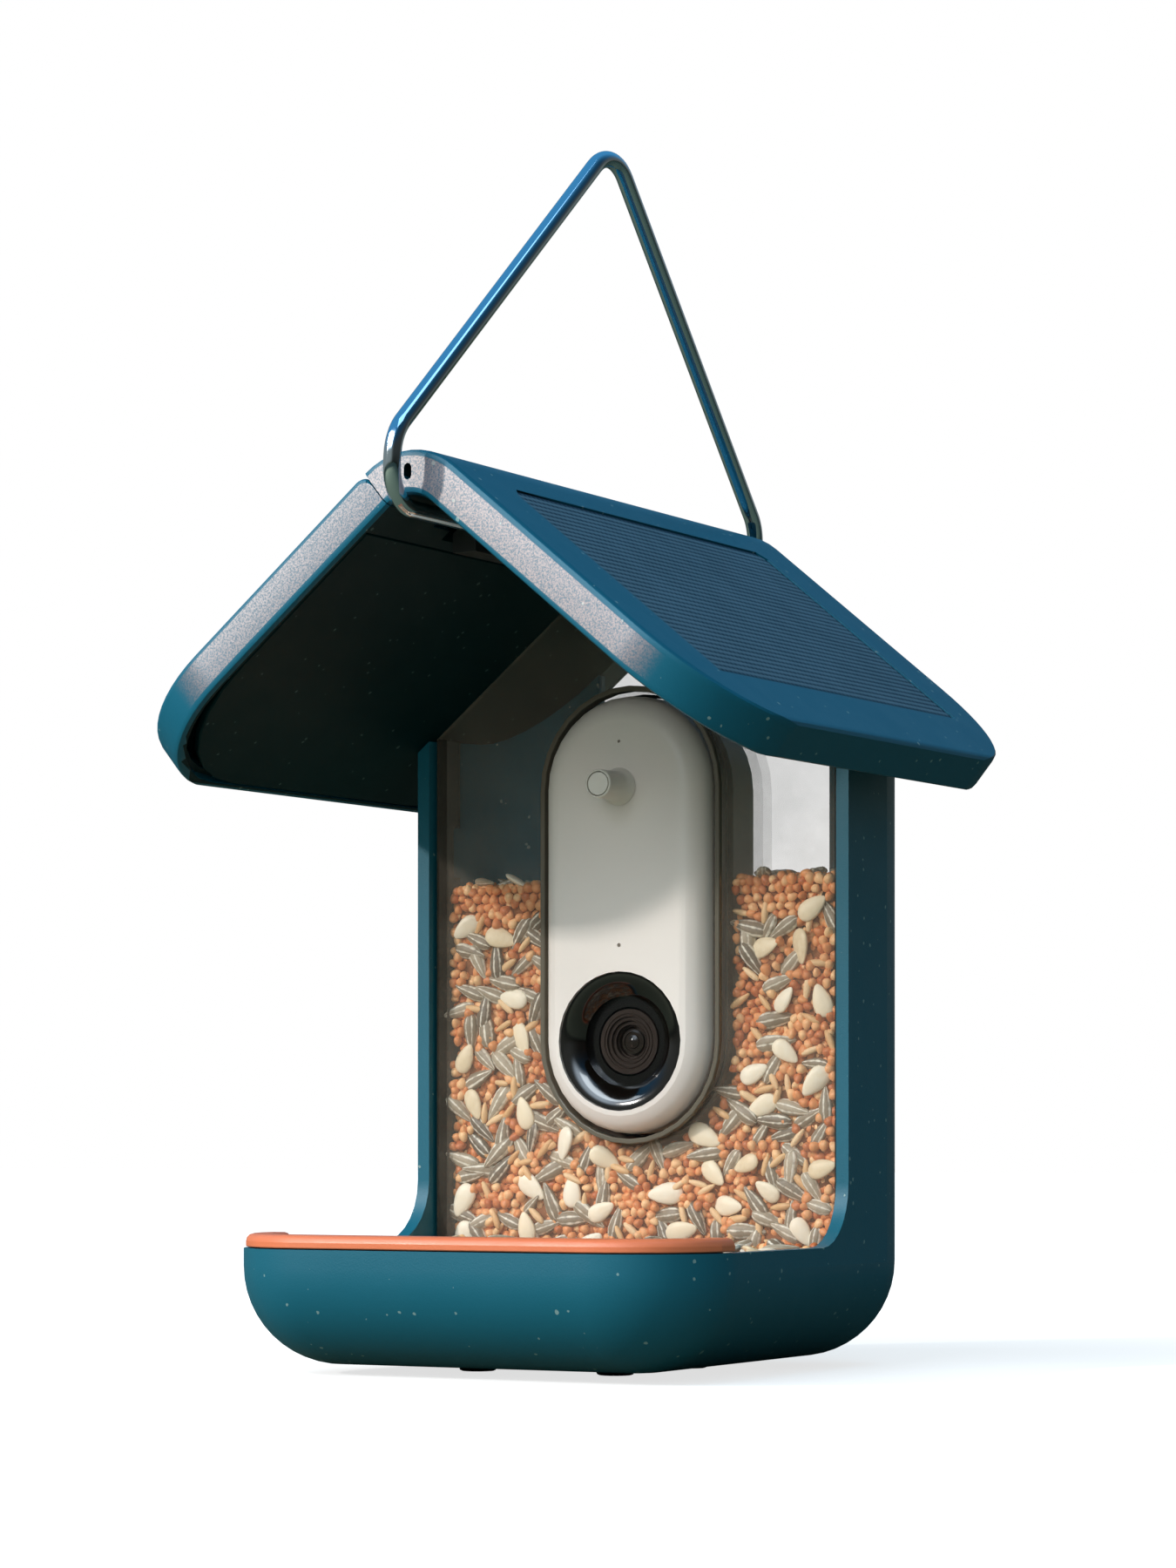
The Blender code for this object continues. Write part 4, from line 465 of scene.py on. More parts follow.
def outward(piece):
    bm = bmesh.new()
    bm.from_mesh(piece.data)
    bmesh.ops.recalc_face_normals(bm, faces=bm.faces)
    bm.to_mesh(piece.data)
    bm.free()


solar = {"start": 23.3 * mm, "end": 100.3 * mm, "halfLength": 68 * mm, "corner": 3 * mm,
         "sunk": 0.3 * mm, "thick": 1.0 * mm}


def onSlope(s, y, deep):
    # place from a run down the slope, a place along the ridge and a depth under the slope
    sin, cos = math.sin(roof["pitch"]), math.cos(roof["pitch"])
    spots = np.stack([s * cos - deep * sin, y, roof["apex"] - s * sin - deep * cos], -1)
    return spots.reshape(-1, 3)


def solarPanel():
    # height over the sloping plane: the higher of two rows of ribs, one along the ridge and one
    # down the slope, each a raised cosine of its own coordinate; flat at the border
    p, k = solar, solarRibs
    rows = int((p["end"] - p["start"]) / k["pitch"]) * k["steps"] + 1
    cols = int(2 * p["halfLength"] / k["pitch"]) * k["steps"] + 1
    s, y = np.meshgrid(np.linspace(p["start"], p["end"], rows),
                       np.linspace(-p["halfLength"], p["halfLength"], cols), indexing="ij")
    along = 0.5 + 0.5 * np.cos(2 * np.pi * np.arange(rows) / k["steps"])[:, None]
    down = 0.5 + 0.5 * np.cos(2 * np.pi * np.arange(cols) / k["steps"])[None, :]
    rise = np.maximum(along, k["crossShare"] * down)
    rise[:2] = rise[-2:] = rise[:, :2] = rise[:, -2:] = k["borderRise"]
    # cut corners by the ridge
    s = np.maximum(s, p["start"] + p["corner"] - (p["halfLength"] - np.abs(y)))
    top = onSlope(s, y, p["sunk"] + k["rise"] * (1 - rise))
    number = np.arange(rows * cols).reshape(rows, cols)
    rim = np.concatenate([number[0, :-1], number[:-1, -1], number[-1, :0:-1], number[:0:-1, 0]])
    low = onSlope(s.ravel()[rim], y.ravel()[rim], np.full(len(rim), p["sunk"] + p["thick"]))
    under = len(top) + np.arange(len(rim))
    sides = np.stack([rim, np.roll(rim, -1), np.roll(under, -1), under], 1)
    faces = [*gridFaces(rows, cols), *sides, under[::-1]]
    piece = newPiece("solar_ribs", np.vstack([top, low]), faces, finishes["solar_cover"], "house",
                     "solar_cover")
    outward(piece)
    tone = piece.data.attributes.new("rise", "FLOAT", "POINT")
    tone.data.foreach_set("value", np.concatenate([rise.ravel(), np.zeros(len(rim))]))


solarPanel()

# corners of the wire as places along the ridge and heights over it, from end to end, in mm
wire = {"radius": 2.25 * mm, "axis": 219.2326 * mm, "lean": math.radians(4.5),
        "corners": [(1, 0), (97, 0), (97, 17.7), (0, 108.5), (-97, 17.7), (-97, 0), (-1, 0)],
        "bends": [10.4, 12, 12, 12, 10.4], "bendSteps": 14, "around": 24,
        "sharp": math.radians(40)}


def bentPath(corners, bends, steps):
    # straight runs joined by arcs, each drawn from the point where it leaves the run before it
    path = [corners[0]]
    for before, here, after, radius in zip(corners, corners[1:], corners[2:], bends):
        a, b = before - here, after - here
        a, b = a / np.linalg.norm(a), b / np.linalg.norm(b)
        half = math.acos(np.clip(a @ b, -1, 1)) / 2
        middle = here + (a + b) / np.linalg.norm(a + b) * radius / math.sin(half)
        start = here + a * radius / math.tan(half) - middle
        across = np.array([-start[1], start[0]])
        t = np.linspace(0, math.copysign(math.pi - 2 * half, -across @ a), steps)[:, None]
        path += list(middle + start * np.cos(t) + across * np.sin(t))
    return np.array(path + [corners[-1]])


def hangerWire():
    # circle carried along the bent path, which lies in one plane through the run under the ridge
    w = wire
    path = bentPath(np.array(w["corners"], float) * mm, np.array(w["bends"]) * mm, w["bendSteps"])
    up = np.array([math.sin(w["lean"]), 0, math.cos(w["lean"])])
    flat = np.array([math.cos(w["lean"]), 0, -math.sin(w["lean"])])
    spots = path[:, :1] * [0, 1, 0] + path[:, 1:] * up + [0, 0, w["axis"]]
    ahead = np.gradient(spots, axis=0)
    ahead /= np.linalg.norm(ahead, axis=1)[:, None]
    n, k = len(spots), w["around"]
    a = np.linspace(0, 2 * np.pi, k, endpoint=False)[None, :, None]
    across = np.cross(ahead, flat)[:, None]
    rings = spots[:, None] + w["radius"] * (np.cos(a) * flat + np.sin(a) * across)
    number = np.arange(n * k).reshape(n, k)
    turned = np.roll(number, -1, 1)
    sides = np.stack([number[:-1], number[1:], turned[1:], turned[:-1]], -1).reshape(-1, 4)
    faces = [*sides, number[0], number[-1][::-1]]
    outward(newPiece("hanger_bail", rings.reshape(-1, 3), faces, finishes["wire_steel"], "hanger",
                     "hanger_wire", angle=w["sharp"]))


hangerWire()

# profiles are pairs of radius and depth in mm, from the outside in
lens = {"height": capsule["low"], "around": 96, "eyeAround": 64, "bowlAround": 144,
        "sharp": math.radians(30),
        "backRadius": 8.9,
        "rings": [(8.9, 24.7), (7.75, 24.7), (7.6, 24.95), (7.35, 24.95), (7.2, 24.7), (6.9, 24.7),
                  (6.8, 25.3), (6.15, 25.3), (6.0, 25.1), (5.75, 25.1), (5.6, 25.9), (5.0, 25.9),
                  (4.9, 25.7), (4.65, 25.7), (4.5, 26.8), (4.15, 26.8), (4.0, 28.0)],
        "eye": [(3.35, 27.65), (3.35, 26.9), (2.7, 26.8), (2.6, 27.1), (1.9, 27.1), (1.8, 26.8),
                (1.45, 26.72), (1.05, 26.58), (0.6, 26.46), (0.25, 26.42)],
        "bowlRadius": (18.6, 6.2), "bowlDepth": (19.6, 2.9), "bowlSteps": 15,
        "bowlBack": [(12.4, 24.7), (9.5, 24.7), (9.5, 27.6), (18.7, 27.6), (18.7, 19.7)]}


def revolve(name, profile, around, finish, replaced, closed=False):
    # profile turned about the lens axis; a closed profile makes a ring, an open one is closed by a
    # point at each end
    r, y = np.array(profile).T
    a = np.linspace(0, 2 * np.pi, around, endpoint=False)
    x = r[:, None] * np.cos(a)
    z = lens["height"] + r[:, None] * np.sin(a)
    rings = np.stack([x, np.repeat(y[:, None], around, 1), z], -1).reshape(-1, 3)
    k, n = np.arange(around), len(r)
    turned = (k + 1) % around
    steps = [(i, (i + 1) % n) for i in range(n if closed else n - 1)]
    faces = [*np.concatenate([np.stack([i * around + k, j * around + k, j * around + turned,
                                        i * around + turned], 1) for i, j in steps])]
    if not closed:
        rings = np.vstack([rings, [[0, y[0], lens["height"]], [0, y[-1], lens["height"]]]])
        last = (n - 1) * around
        faces += [*np.stack([np.full(around, n * around), turned, k], 1)]
        faces += [*np.stack([np.full(around, n * around + 1), last + k, last + turned], 1)]
    outward(newPiece(name, rings, faces, finish, "camera_module", replaced, angle=lens["sharp"]))


def inMetres(profile):
    return [(a * mm, b * mm) for a, b in profile]


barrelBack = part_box("lens_barrel")[1][1]
revolve("lens_rings", [(lens["backRadius"] * mm, barrelBack)] + inMetres(lens["rings"]),
        lens["around"], finishes["lens_rings"], "lens_barrel")
revolve("lens_eye", inMetres(lens["eye"]), lens["eyeAround"], finishes["lens_eye"], "lens_dome")

# the bezel's bowl gets steeper towards the glass: depth grows with the square of the way in
wayIn = np.linspace(0, 1, lens["bowlSteps"])
bowlRadius = (lens["bowlRadius"][0] - lens["bowlRadius"][1] * wayIn) * mm
bowlDepth = (lens["bowlDepth"][0] + lens["bowlDepth"][1] * wayIn ** 2) * mm
revolve("lens_bowl", list(zip(bowlRadius, bowlDepth)) + inMetres(lens["bowlBack"]),
        lens["bowlAround"], finishes["lens_black"], "lens_bezel", closed=True)
print("solar ribs, wire and lens made")

seedMix = {
    "windowBack": 28.5 * mm, "top": 133 * mm, "topDrop": 0.6 * mm, "topSlope": 0.011,
    "plainTop": 8 * mm, "half": 60.2 * mm, "low": (-60 * mm, 32 * mm),
    "high": (60 * mm, 133.5 * mm),
    "lumpPitch": 16 * mm, "lumpDepth": 1.8 * mm, "sunk": 1.3 * mm, "sizes": (0.86, 1.1),
    "pitchLean": 0.25, "rollLean": 0.3, "rowShare": 0.87, "triesEach": 60,
}
rng = np.random.default_rng(7)


def lump(a, b):
    # the same gentle lumps as in the solid seed: product of two sines, as a depth below the highest
    k = 2 * np.pi / seedMix["lumpPitch"]
    return seedMix["lumpDepth"] * (1 + np.sin(k * a) * np.sin(k * b)) / 2


def seedForm(length, width, thick, rings, around, tip=0.0, lobes=0.0):
    # closed seed: at each step along its length an oval ring, whose width follows a half circle
    # and leans towards one end by the tip value; lobes makes the ring three-cornered
    t = 0.5 - 0.5 * np.cos(np.linspace(0, np.pi, rings + 2)[1:-1])
    a = np.linspace(0, 2 * np.pi, around, endpoint=False)
    half = np.sqrt(np.clip(1 - (2 * t - 1) ** 2, 0, 1)) * (1 - tip * (t - 0.35))
    bulge = 1 + lobes * np.cos(3 * a)
    x = np.repeat((t - 0.5)[:, None] * length, around, 1)
    y = half[:, None] * np.cos(a) * bulge * width / 2
    z = half[:, None] * np.sin(a) * bulge * thick / 2
    ring = np.stack([x, y, z], -1).reshape(-1, 3)
    verts = np.vstack([ring, [[-length / 2, 0, 0], [length / 2, 0, 0]]])
    k = np.arange(around)
    turned, end = (k + 1) % around, (rings - 1) * around
    ringStarts = around * np.arange(rings - 1)
    quads = np.concatenate([np.stack([r + k, r + turned, r + around + turned, r + around + k], 1)
                            for r in ringStarts])
    first, last = np.full(around, len(ring)), np.full(around, len(ring) + 1)
    tris = np.vstack([np.stack([first, turned, k], 1), np.stack([last, end + k, end + turned], 1)])
    uv = np.stack([np.repeat(t[:, None], around, 1), np.repeat(np.cos(a)[None], rings, 0)], -1)
    return verts, quads, tris, np.vstack([uv.reshape(-1, 2), [[0, 0], [1, 0]]])


def turns(yaw, pitch, roll):
    # rotation matrices from three angles, about Z, then Y, then X of the seed
    cy, sy, cp, sp, cr, sr = (f(v) for v in (yaw, pitch, roll) for f in (np.cos, np.sin))
    zero, one = np.zeros_like(yaw), np.ones_like(yaw)
    rz = np.stack([cy, -sy, zero, sy, cy, zero, zero, zero, one], -1).reshape(-1, 3, 3)
    ry = np.stack([cp, zero, sp, zero, one, zero, -sp, zero, cp], -1).reshape(-1, 3, 3)
    rx = np.stack([one, zero, zero, zero, cr, -sr, zero, sr, cr], -1).reshape(-1, 3, 3)
    return rz @ ry @ rx


def anyTurn(n):
    return turns(*rng.uniform(0, 2 * np.pi, (3, n)))


def lying(n):
    return turns(rng.uniform(0, 2 * np.pi, n), rng.normal(0, seedMix["pitchLean"], n),
                 rng.normal(0, seedMix["rollLean"], n))


def seedPiece(name, form, centres, matrices, finish, replaced=None):
    # one mesh of many seeds, with a tone for each seed and its own lengthwise and crosswise place
    verts, quads, tris, uv = form
    n, v = len(centres), len(verts)
    sizes = rng.uniform(*seedMix["sizes"], n)
    spots = np.einsum("nij,vj->nvi", matrices, verts) * sizes[:, None, None] + centres[:, None, :]
    step = (np.arange(n) * v)[:, None, None]
    q, t = (quads[None] + step).reshape(-1, 4), (tris[None] + step).reshape(-1, 3)
    mesh = bpy.data.meshes.new(name)
    mesh.vertices.add(n * v)
    mesh.vertices.foreach_set("co", spots.ravel())
    loops = np.concatenate([q.ravel(), t.ravel()])
    mesh.loops.add(len(loops))
    mesh.loops.foreach_set("vertex_index", loops)
    starts = np.concatenate([np.arange(len(q)) * 4, len(q) * 4 + np.arange(len(t)) * 3])
    mesh.polygons.add(len(starts))
    mesh.polygons.foreach_set("loop_start", starts)
    mesh.update(calc_edges=True)
    mesh.shade_smooth()
    tone = mesh.attributes.new("tone", "FLOAT", "POINT")
    tone.data.foreach_set("value", np.repeat(rng.random(n), v))
    along = mesh.attributes.new("along", "FLOAT_VECTOR", "POINT")
    along.data.foreach_set("vector", np.hstack([np.tile(uv, (n, 1)), np.zeros((n * v, 1))]).ravel())
    mesh.materials.append(finish)
    piece = addObject(name, mesh)
    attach(piece, "house")
    if replaced:
        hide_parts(replaced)


seedLook = {"grain": 700.0, "toneShare": 0.75, "grainShare": 0.35, "spread": 0.08, "bump": 0.25,
            "specular": 0.4, "stripePhase": 0.9, "stripeWobble": 1.8,
            "stripeSpan": (0.3, 1.3, 0.0, 0.85)}


def seedFinish(name, dark, mid, light, rough=0.5, stripes=0, stripeColour=None):
    # each seed has its own tone, with a fine grain; stripes run along it where it has them
    p = seedLook
    mat, tree, shader = startMaterial(name)
    tone = add(tree, "ShaderNodeAttribute", attribute_name="tone").outputs["Fac"]
    spot = add(tree, "ShaderNodeTexNoise",
               {"Vector": objectPlace(tree), "Scale": p["grain"], "Detail": 3.0}).outputs[0]
    blend = math2(tree, "ADD", math2(tree, "MULTIPLY", tone, p["toneShare"]),
                  math2(tree, "MULTIPLY", spot, p["grainShare"]))
    colour = mixColour(tree, ramp(tree, blend, 0.1, 0.5), dark, mid)
    colour = mixColour(tree, ramp(tree, blend, 0.5, 1.0), colour, light)
    if stripes:
        along = add(tree, "ShaderNodeAttribute", attribute_name="along").outputs["Vector"]
        across = add(tree, "ShaderNodeSeparateXYZ", {0: along}).outputs[1]
        phase = math2(tree, "ADD", math2(tree, "MULTIPLY", across, stripes), p["stripePhase"])
        shift = math2(tree, "MULTIPLY", math2(tree, "SUBTRACT", spot, 0.5), p["stripeWobble"])
        wave = math2(tree, "ADD", math2(tree, "SINE", phase), shift)
        colour = mixColour(tree, ramp(tree, wave, *p["stripeSpan"]), colour, stripeColour)
    finishSurface(tree, shader, colour, spot, spot, rough, p["spread"], p["bump"])
    shader.inputs["Specular IOR Level"].default_value = p["specular"]
    return mat


# form: length, width, thickness, rings and points of each ring; finish: dark, middle and light tone
kinds = {
    "milo": (seedForm(3.25 * mm, 2.95 * mm, 2.85 * mm, 5, 9, 0.55, 0.09),
             seedFinish("milo", rgb(188, 98, 52), rgb(234, 154, 96), rgb(252, 206, 152), 0.45)),
    "sunflower": (seedForm(11.2 * mm, 4.9 * mm, 3.1 * mm, 7, 10, 0.8),
                  seedFinish("sunflower", rgb(96, 84, 70), rgb(140, 126, 106), rgb(178, 164, 142),
                             0.5, 8.0, rgb(252, 246, 230))),
    "pumpkin": (seedForm(9.4 * mm, 6.0 * mm, 2.0 * mm, 8, 12, 0.62),
                seedFinish("pumpkin", rgb(228, 206, 168), rgb(244, 228, 198),
                           rgb(252, 243, 224), 0.45)),
    "oat": (seedForm(6.8 * mm, 2.2 * mm, 1.9 * mm, 5, 8, 0.3),
            seedFinish("oat", rgb(212, 158, 104), rgb(230, 186, 134), rgb(244, 210, 166), 0.5)),
}


def sow(name, kind, centres, matrices, replaced=None):
    seedPiece(name, kinds[kind][0], centres, matrices, kinds[kind][1], replaced)


def hexGrid(low, high, pitch, jitter):
    columns = np.arange(low[0], high[0], pitch)
    rows = np.arange(low[1], high[1], pitch * seedMix["rowShare"])
    g = np.stack(np.meshgrid(columns, rows), -1)
    g[1::2, :, 0] += pitch / 2
    g = g.reshape(-1, 2)
    return g + rng.normal(0, jitter, g.shape)


def nearest(points, others):
    # distance from each point to the closest of the others
    apart = points[:, None] - others[None]
    return np.hypot(apart[..., 0], apart[..., 1]).min(1)


def inHopper(p, below=0.0, margin=0.0):
    # beside and under the camera pocket, below the top of the seed
    z = np.clip(p[:, 1], capsule["low"], capsule["high"])
    outside = np.hypot(p[:, 0], p[:, 1] - z) > capsule["pocket"] + margin
    top = seedMix["top"] - seedMix["topDrop"] - below + seedMix["topSlope"] * p[:, 0]
    return outside & (p[:, 1] < top) & (np.abs(p[:, 0]) < seedMix["half"] - margin)


def scatter(count, gap, margin, others):
    # random places behind the window in a fixed order, each at least gap from those before it
    tries = rng.uniform(seedMix["low"], seedMix["high"], (count * seedMix["triesEach"], 2))
    tries = tries[inHopper(tries, seedMix["plainTop"], margin)]
    if len(others):
        tries = tries[nearest(tries, others) > gap]
    found = []
    for p in tries:
        if all(math.hypot(p[0] - q[0], p[1] - q[1]) > gap for q in found):
            found.append(p)
        if len(found) == count:
            break
    return np.array(found)


def againstWindow(spots, depth, lean, spread):
    # seeds with their broad side towards the window
    n = len(spots)
    deep = seedMix["windowBack"] + depth + 0.5 * lump(*spots.T) + rng.uniform(0, spread, n)
    centres = np.stack([spots[:, 0], deep, spots[:, 1]], 1)
    yaw, pitch = rng.normal(0, lean, n), rng.uniform(0, 2 * np.pi, n)
    return centres, turns(yaw, pitch, np.pi / 2 + rng.normal(0, lean, n))


# large seeds behind the window: gap between them, margin at the edges, depth, lean and spread of
# the depth
windowSeed = {
    "pumpkin": {"count": 34, "gap": 9 * mm, "margin": 3.4 * mm, "depth": 1.2 * mm,
                "lean": 0.16, "spread": 0},
    "sunflower": {"count": 104, "gap": 3.9 * mm, "margin": 1.6 * mm, "depth": 1.7 * mm,
                  "lean": 0.18, "spread": 0.9 * mm},
    "oat": {"count": 66, "gap": 3.2 * mm, "margin": 1.6 * mm, "depth": 1.2 * mm,
            "lean": 0.15, "spread": 0.6 * mm},
}
spotsOf, taken = {}, np.zeros((0, 2))
for kind, w in windowSeed.items():
    spotsOf[kind] = scatter(w["count"], w["gap"], w["margin"], taken)
    taken = np.vstack([taken, spotsOf[kind]])
for kind, w in windowSeed.items():
    sow("hopper_" + kind, kind, *againstWindow(spotsOf[kind], w["depth"], w["lean"], w["spread"]))

# small seeds in two layers; those in the first lie behind the large ones or make room for them
milo = {"pitch": 2.65 * mm, "jitter": 0.34 * mm, "depth": 1.6 * mm, "unevenDepth": 0.6 * mm,
        "backWider": 1.03, "backJitter": 0.4 * mm, "backDepth": 3.6 * mm,
        "sunk": 1.7 * mm, "byPumpkin": 4.3 * mm, "bySunflower": 3.4 * mm,
        "offOat": 1.9 * mm, "offPumpkin": 2.6 * mm}


def miloLayer(depth, pitch, jitter):
    g = hexGrid(seedMix["low"], seedMix["high"], pitch, jitter)
    g = g[inHopper(g)]
    deep = seedMix["windowBack"] + depth + 0.6 * lump(*g.T)
    deep += rng.uniform(0, milo["unevenDepth"], len(g))
    return np.stack([g[:, 0], deep, g[:, 1]], 1)


layer1 = miloLayer(milo["depth"], milo["pitch"], milo["jitter"])
far = {kind: nearest(layer1[:, ::2], spots) for kind, spots in spotsOf.items()}
hidden = (far["pumpkin"] < milo["byPumpkin"]) | (far["sunflower"] < milo["bySunflower"])
layer1[:, 1] += milo["sunk"] * hidden
layer1 = layer1[(far["oat"] > milo["offOat"]) & (far["pumpkin"] > milo["offPumpkin"])]
layer2 = miloLayer(milo["backDepth"], milo["pitch"] * milo["backWider"], milo["backJitter"])
both = np.vstack([layer1, layer2])
sow("hopper_milo", "milo", both, anyTurn(len(both)), "hopper_seed")

plan = {"halfWidth": 67.3 * mm, "taper": 0.0546, "taperFrom": 23.5 * mm, "corner": 28.3 * mm,
        "straight": (76.5 - 28.3) * mm}


def planInside(p, inset, lowY, highY):
    # inside the house's plan moved inward by inset; the sides lean and the corners are round
    x, y = np.abs(p[:, 0]), p[:, 1]
    r = plan["corner"] - inset
    side = plan["halfWidth"] + plan["taper"] * (plan["taperFrom"] - y) - inset
    over = np.abs(y) - plan["straight"]
    corner = np.hypot(np.clip(x - (side - r), 0, None), np.clip(over, 0, None)) < r
    return corner & (x < side) & (y > lowY) & (y < highY)


def sowOnTop(name, kind, spots, heights, lift, matrices):
    sow(name, kind, np.column_stack([spots, heights + lift]), matrices)


def heightOf(top, p):
    return top + seedMix["lumpDepth"] / 2 - lump(*p.T) - seedMix["sunk"]


hopperTop = {"low": (-63 * mm, 30 * mm), "high": (63 * mm, 72 * mm), "pitch": 2.75 * mm,
             "jitter": 0.35 * mm, "bob": 0.35 * mm, "pocketHalf": 30 * mm, "pocketBack": 56.8 * mm,
             "inset": 6 * mm, "near": 30.2 * mm, "far": 71 * mm, "flangeHalf": 58.6 * mm,
             "flangeBack": 38 * mm, "sunflowers": 28, "sunflowerLift": 1.7 * mm, "pumpkins": 12,
             "pumpkinLift": 1.6 * mm}


def hopperTopSeed():
    h = hopperTop
    g = hexGrid(h["low"], h["high"], h["pitch"], h["jitter"])
    x, y = np.abs(g[:, 0]), g[:, 1]
    offPocket = (x > h["pocketHalf"]) | (y > h["pocketBack"])
    offFlange = (x < h["flangeHalf"]) | (y > h["flangeBack"])
    g = g[planInside(g, h["inset"], h["near"], h["far"]) & offPocket & offFlange]
    heights = heightOf(seedMix["top"], g)
    bob = rng.normal(0, h["bob"], len(g))
    sowOnTop("hopper_top_milo", "milo", g, heights, bob, anyTurn(len(g)))
    n, m = h["sunflowers"], h["pumpkins"]
    pick = rng.choice(len(g), n + m, replace=False)
    sowOnTop("hopper_top_sunflower", "sunflower", g[pick[:n]], heights[pick[:n]],
             h["sunflowerLift"], lying(n))
    sowOnTop("hopper_top_pumpkin", "pumpkin", g[pick[n:]], heights[pick[n:]], h["pumpkinLift"],
             lying(m))


rearSeed = {"low": (-35 * mm, 51.5 * mm), "high": (35 * mm, 131 * mm), "pitch": 2.75 * mm,
            "jitter": 0.35 * mm, "depth": 70.7 * mm}


def rearWindowSeed():
    h = rearSeed
    g = hexGrid(h["low"], h["high"], h["pitch"], h["jitter"])
    deep = h["depth"] - 0.6 * lump(*g.T)
    sow("hopper_rear_milo", "milo", np.stack([g[:, 0], deep, g[:, 1]], 1), anyTurn(len(g)))


tray = {"low": (-66 * mm, -72 * mm), "high": (66 * mm, 25 * mm), "pitch": 2.7 * mm,
        "jitter": 0.35 * mm, "bob": 0.4 * mm, "top": 31 * mm, "heap": 3 * mm,
        "heapFrom": 26 * mm, "heapRun": 9 * mm,
        "inset": 8.4 * mm, "near": -70 * mm, "far": 24.1 * mm,
        "large": 330, "largeInset": 13.6 * mm, "largeNear": -64 * mm, "largeFar": 21 * mm,
        "pumpkinShare": 0.15, "sunflowerShare": 0.75,
        "lift": {"pumpkin": 1.5 * mm, "sunflower": 1.6 * mm, "oat": 1.3 * mm}}


def traySeed():
    # level in front, a little higher by the window that the seed runs out of
    t = tray
    g = hexGrid(t["low"], t["high"], t["pitch"], t["jitter"])
    g = g[planInside(g, t["inset"], t["near"], t["far"])]
    heap = t["heap"] * np.exp(-((g[:, 1] - t["heapFrom"]) / t["heapRun"]) ** 2)
    heights = heightOf(t["top"] + heap, g)
    sowOnTop("tray_milo", "milo", g, heights, rng.normal(0, t["bob"], len(g)), anyTurn(len(g)))
    pick = rng.choice(len(g), t["large"], replace=False)
    pick = pick[planInside(g[pick], t["largeInset"], t["largeNear"], t["largeFar"])]
    a, b = int(len(pick) * t["pumpkinShare"]), int(len(pick) * t["sunflowerShare"])
    for kind, part in (("pumpkin", pick[:a]), ("sunflower", pick[a:b]), ("oat", pick[b:])):
        sowOnTop("tray_" + kind, kind, g[part], heights[part], t["lift"][kind], lying(len(part)))


hopperTopSeed()
rearWindowSeed()
traySeed()
skin("hopper_seed", shrink=3.4 * mm)
skin("tray_seed", shrink=1.2 * mm)
print("seed made")

floorLook = {"half": 6.0, "base": (0.15, 0.175, 0.12, 1), "roughness": 0.9, "specular": 0.1,
             "glow": (0.14, 0.42, 0.72, 1.0), "lit": (0.6, 0.6, 0.6, 1)}


def makeStage():
    # to the camera the floor is nearly white and takes the shadow; other rays see a muted one
    p, r = floorLook, floorLook["half"]
    mesh = bpy.data.meshes.new("floor")
    mesh.from_pydata([(-r, -r, 0), (r, -r, 0), (r, r, 0), (-r, r, 0)], [], [(0, 1, 2, 3)])
    floor = addObject("floor", mesh)
    mat, tree, shader = startMaterial("pale floor")
    shader.inputs["Base Color"].default_value = p["base"]
    shader.inputs["Roughness"].default_value = p["roughness"]
    shader.inputs["Specular IOR Level"].default_value = p["specular"]
    away = add(tree, "ShaderNodeVectorMath", {0: objectPlace(tree)}, operation="LENGTH")
    glow = ramp(tree, away.outputs["Value"], *p["glow"])
    white = add(tree, "ShaderNodeEmission", {"Color": (1, 1, 1, 1), "Strength": glow})
    lit = add(tree, "ShaderNodeBsdfDiffuse", {"Color": p["lit"]})
    both = add(tree, "ShaderNodeAddShader", {0: white.outputs[0], 1: lit.outputs[0]})
    seen = add(tree, "ShaderNodeLightPath").outputs["Is Camera Ray"]
    mix = add(tree, "ShaderNodeMixShader", {0: seen, 1: shader.outputs[0], 2: both.outputs[0]})
    tree.links.new(mix.outputs[0], tree.nodes["Material Output"].inputs["Surface"])
    mesh.materials.append(mat)


# azimuth from the front, positive to the right; sizes in metres
lamps = {
    "key": {"azimuth": -36.9, "height": 19.8, "distance": 1.7, "size": (0.08, 0.08), "power": 14.5,
            "colour": (1.0, 0.95, 0.90)},
    "soft": {"azimuth": -20, "height": 38, "distance": 1.35, "size": (1.5, 0.42), "power": 12.0,
             "colour": (0.86, 0.94, 1.0)},
    "front": {"azimuth": 8, "height": 12, "distance": 1.5, "size": (1.7, 0.6), "power": 6.0,
              "colour": (1.0, 0.985, 0.93), "glossy": False},
    "top": {"azimuth": 60, "height": 66, "distance": 1.5, "size": (0.8, 0.8), "power": 3.2,
            "colour": (0.42, 0.74, 1.0)},
}
lampAim = (0, 0, 0.14)


def lamp(name, azimuth, height, distance, size, power, colour, glossy=True):
    # the lamp faces the middle of the object
    light = bpy.data.lights.new(name, "AREA")
    light.shape = "RECTANGLE"
    light.energy, light.size, light.size_y, light.color = power, size[0], size[1], colour
    o = addObject(name, light)
    a, h, aim = math.radians(azimuth), math.radians(height), Vector(lampAim)
    away = Vector((math.sin(a) * math.cos(h), -math.cos(a) * math.cos(h), math.sin(h)))
    o.location = aim + distance * away
    o.rotation_euler = (aim - o.location).to_track_quat("-Z", "Y").to_euler()
    o.visible_glossy = glossy


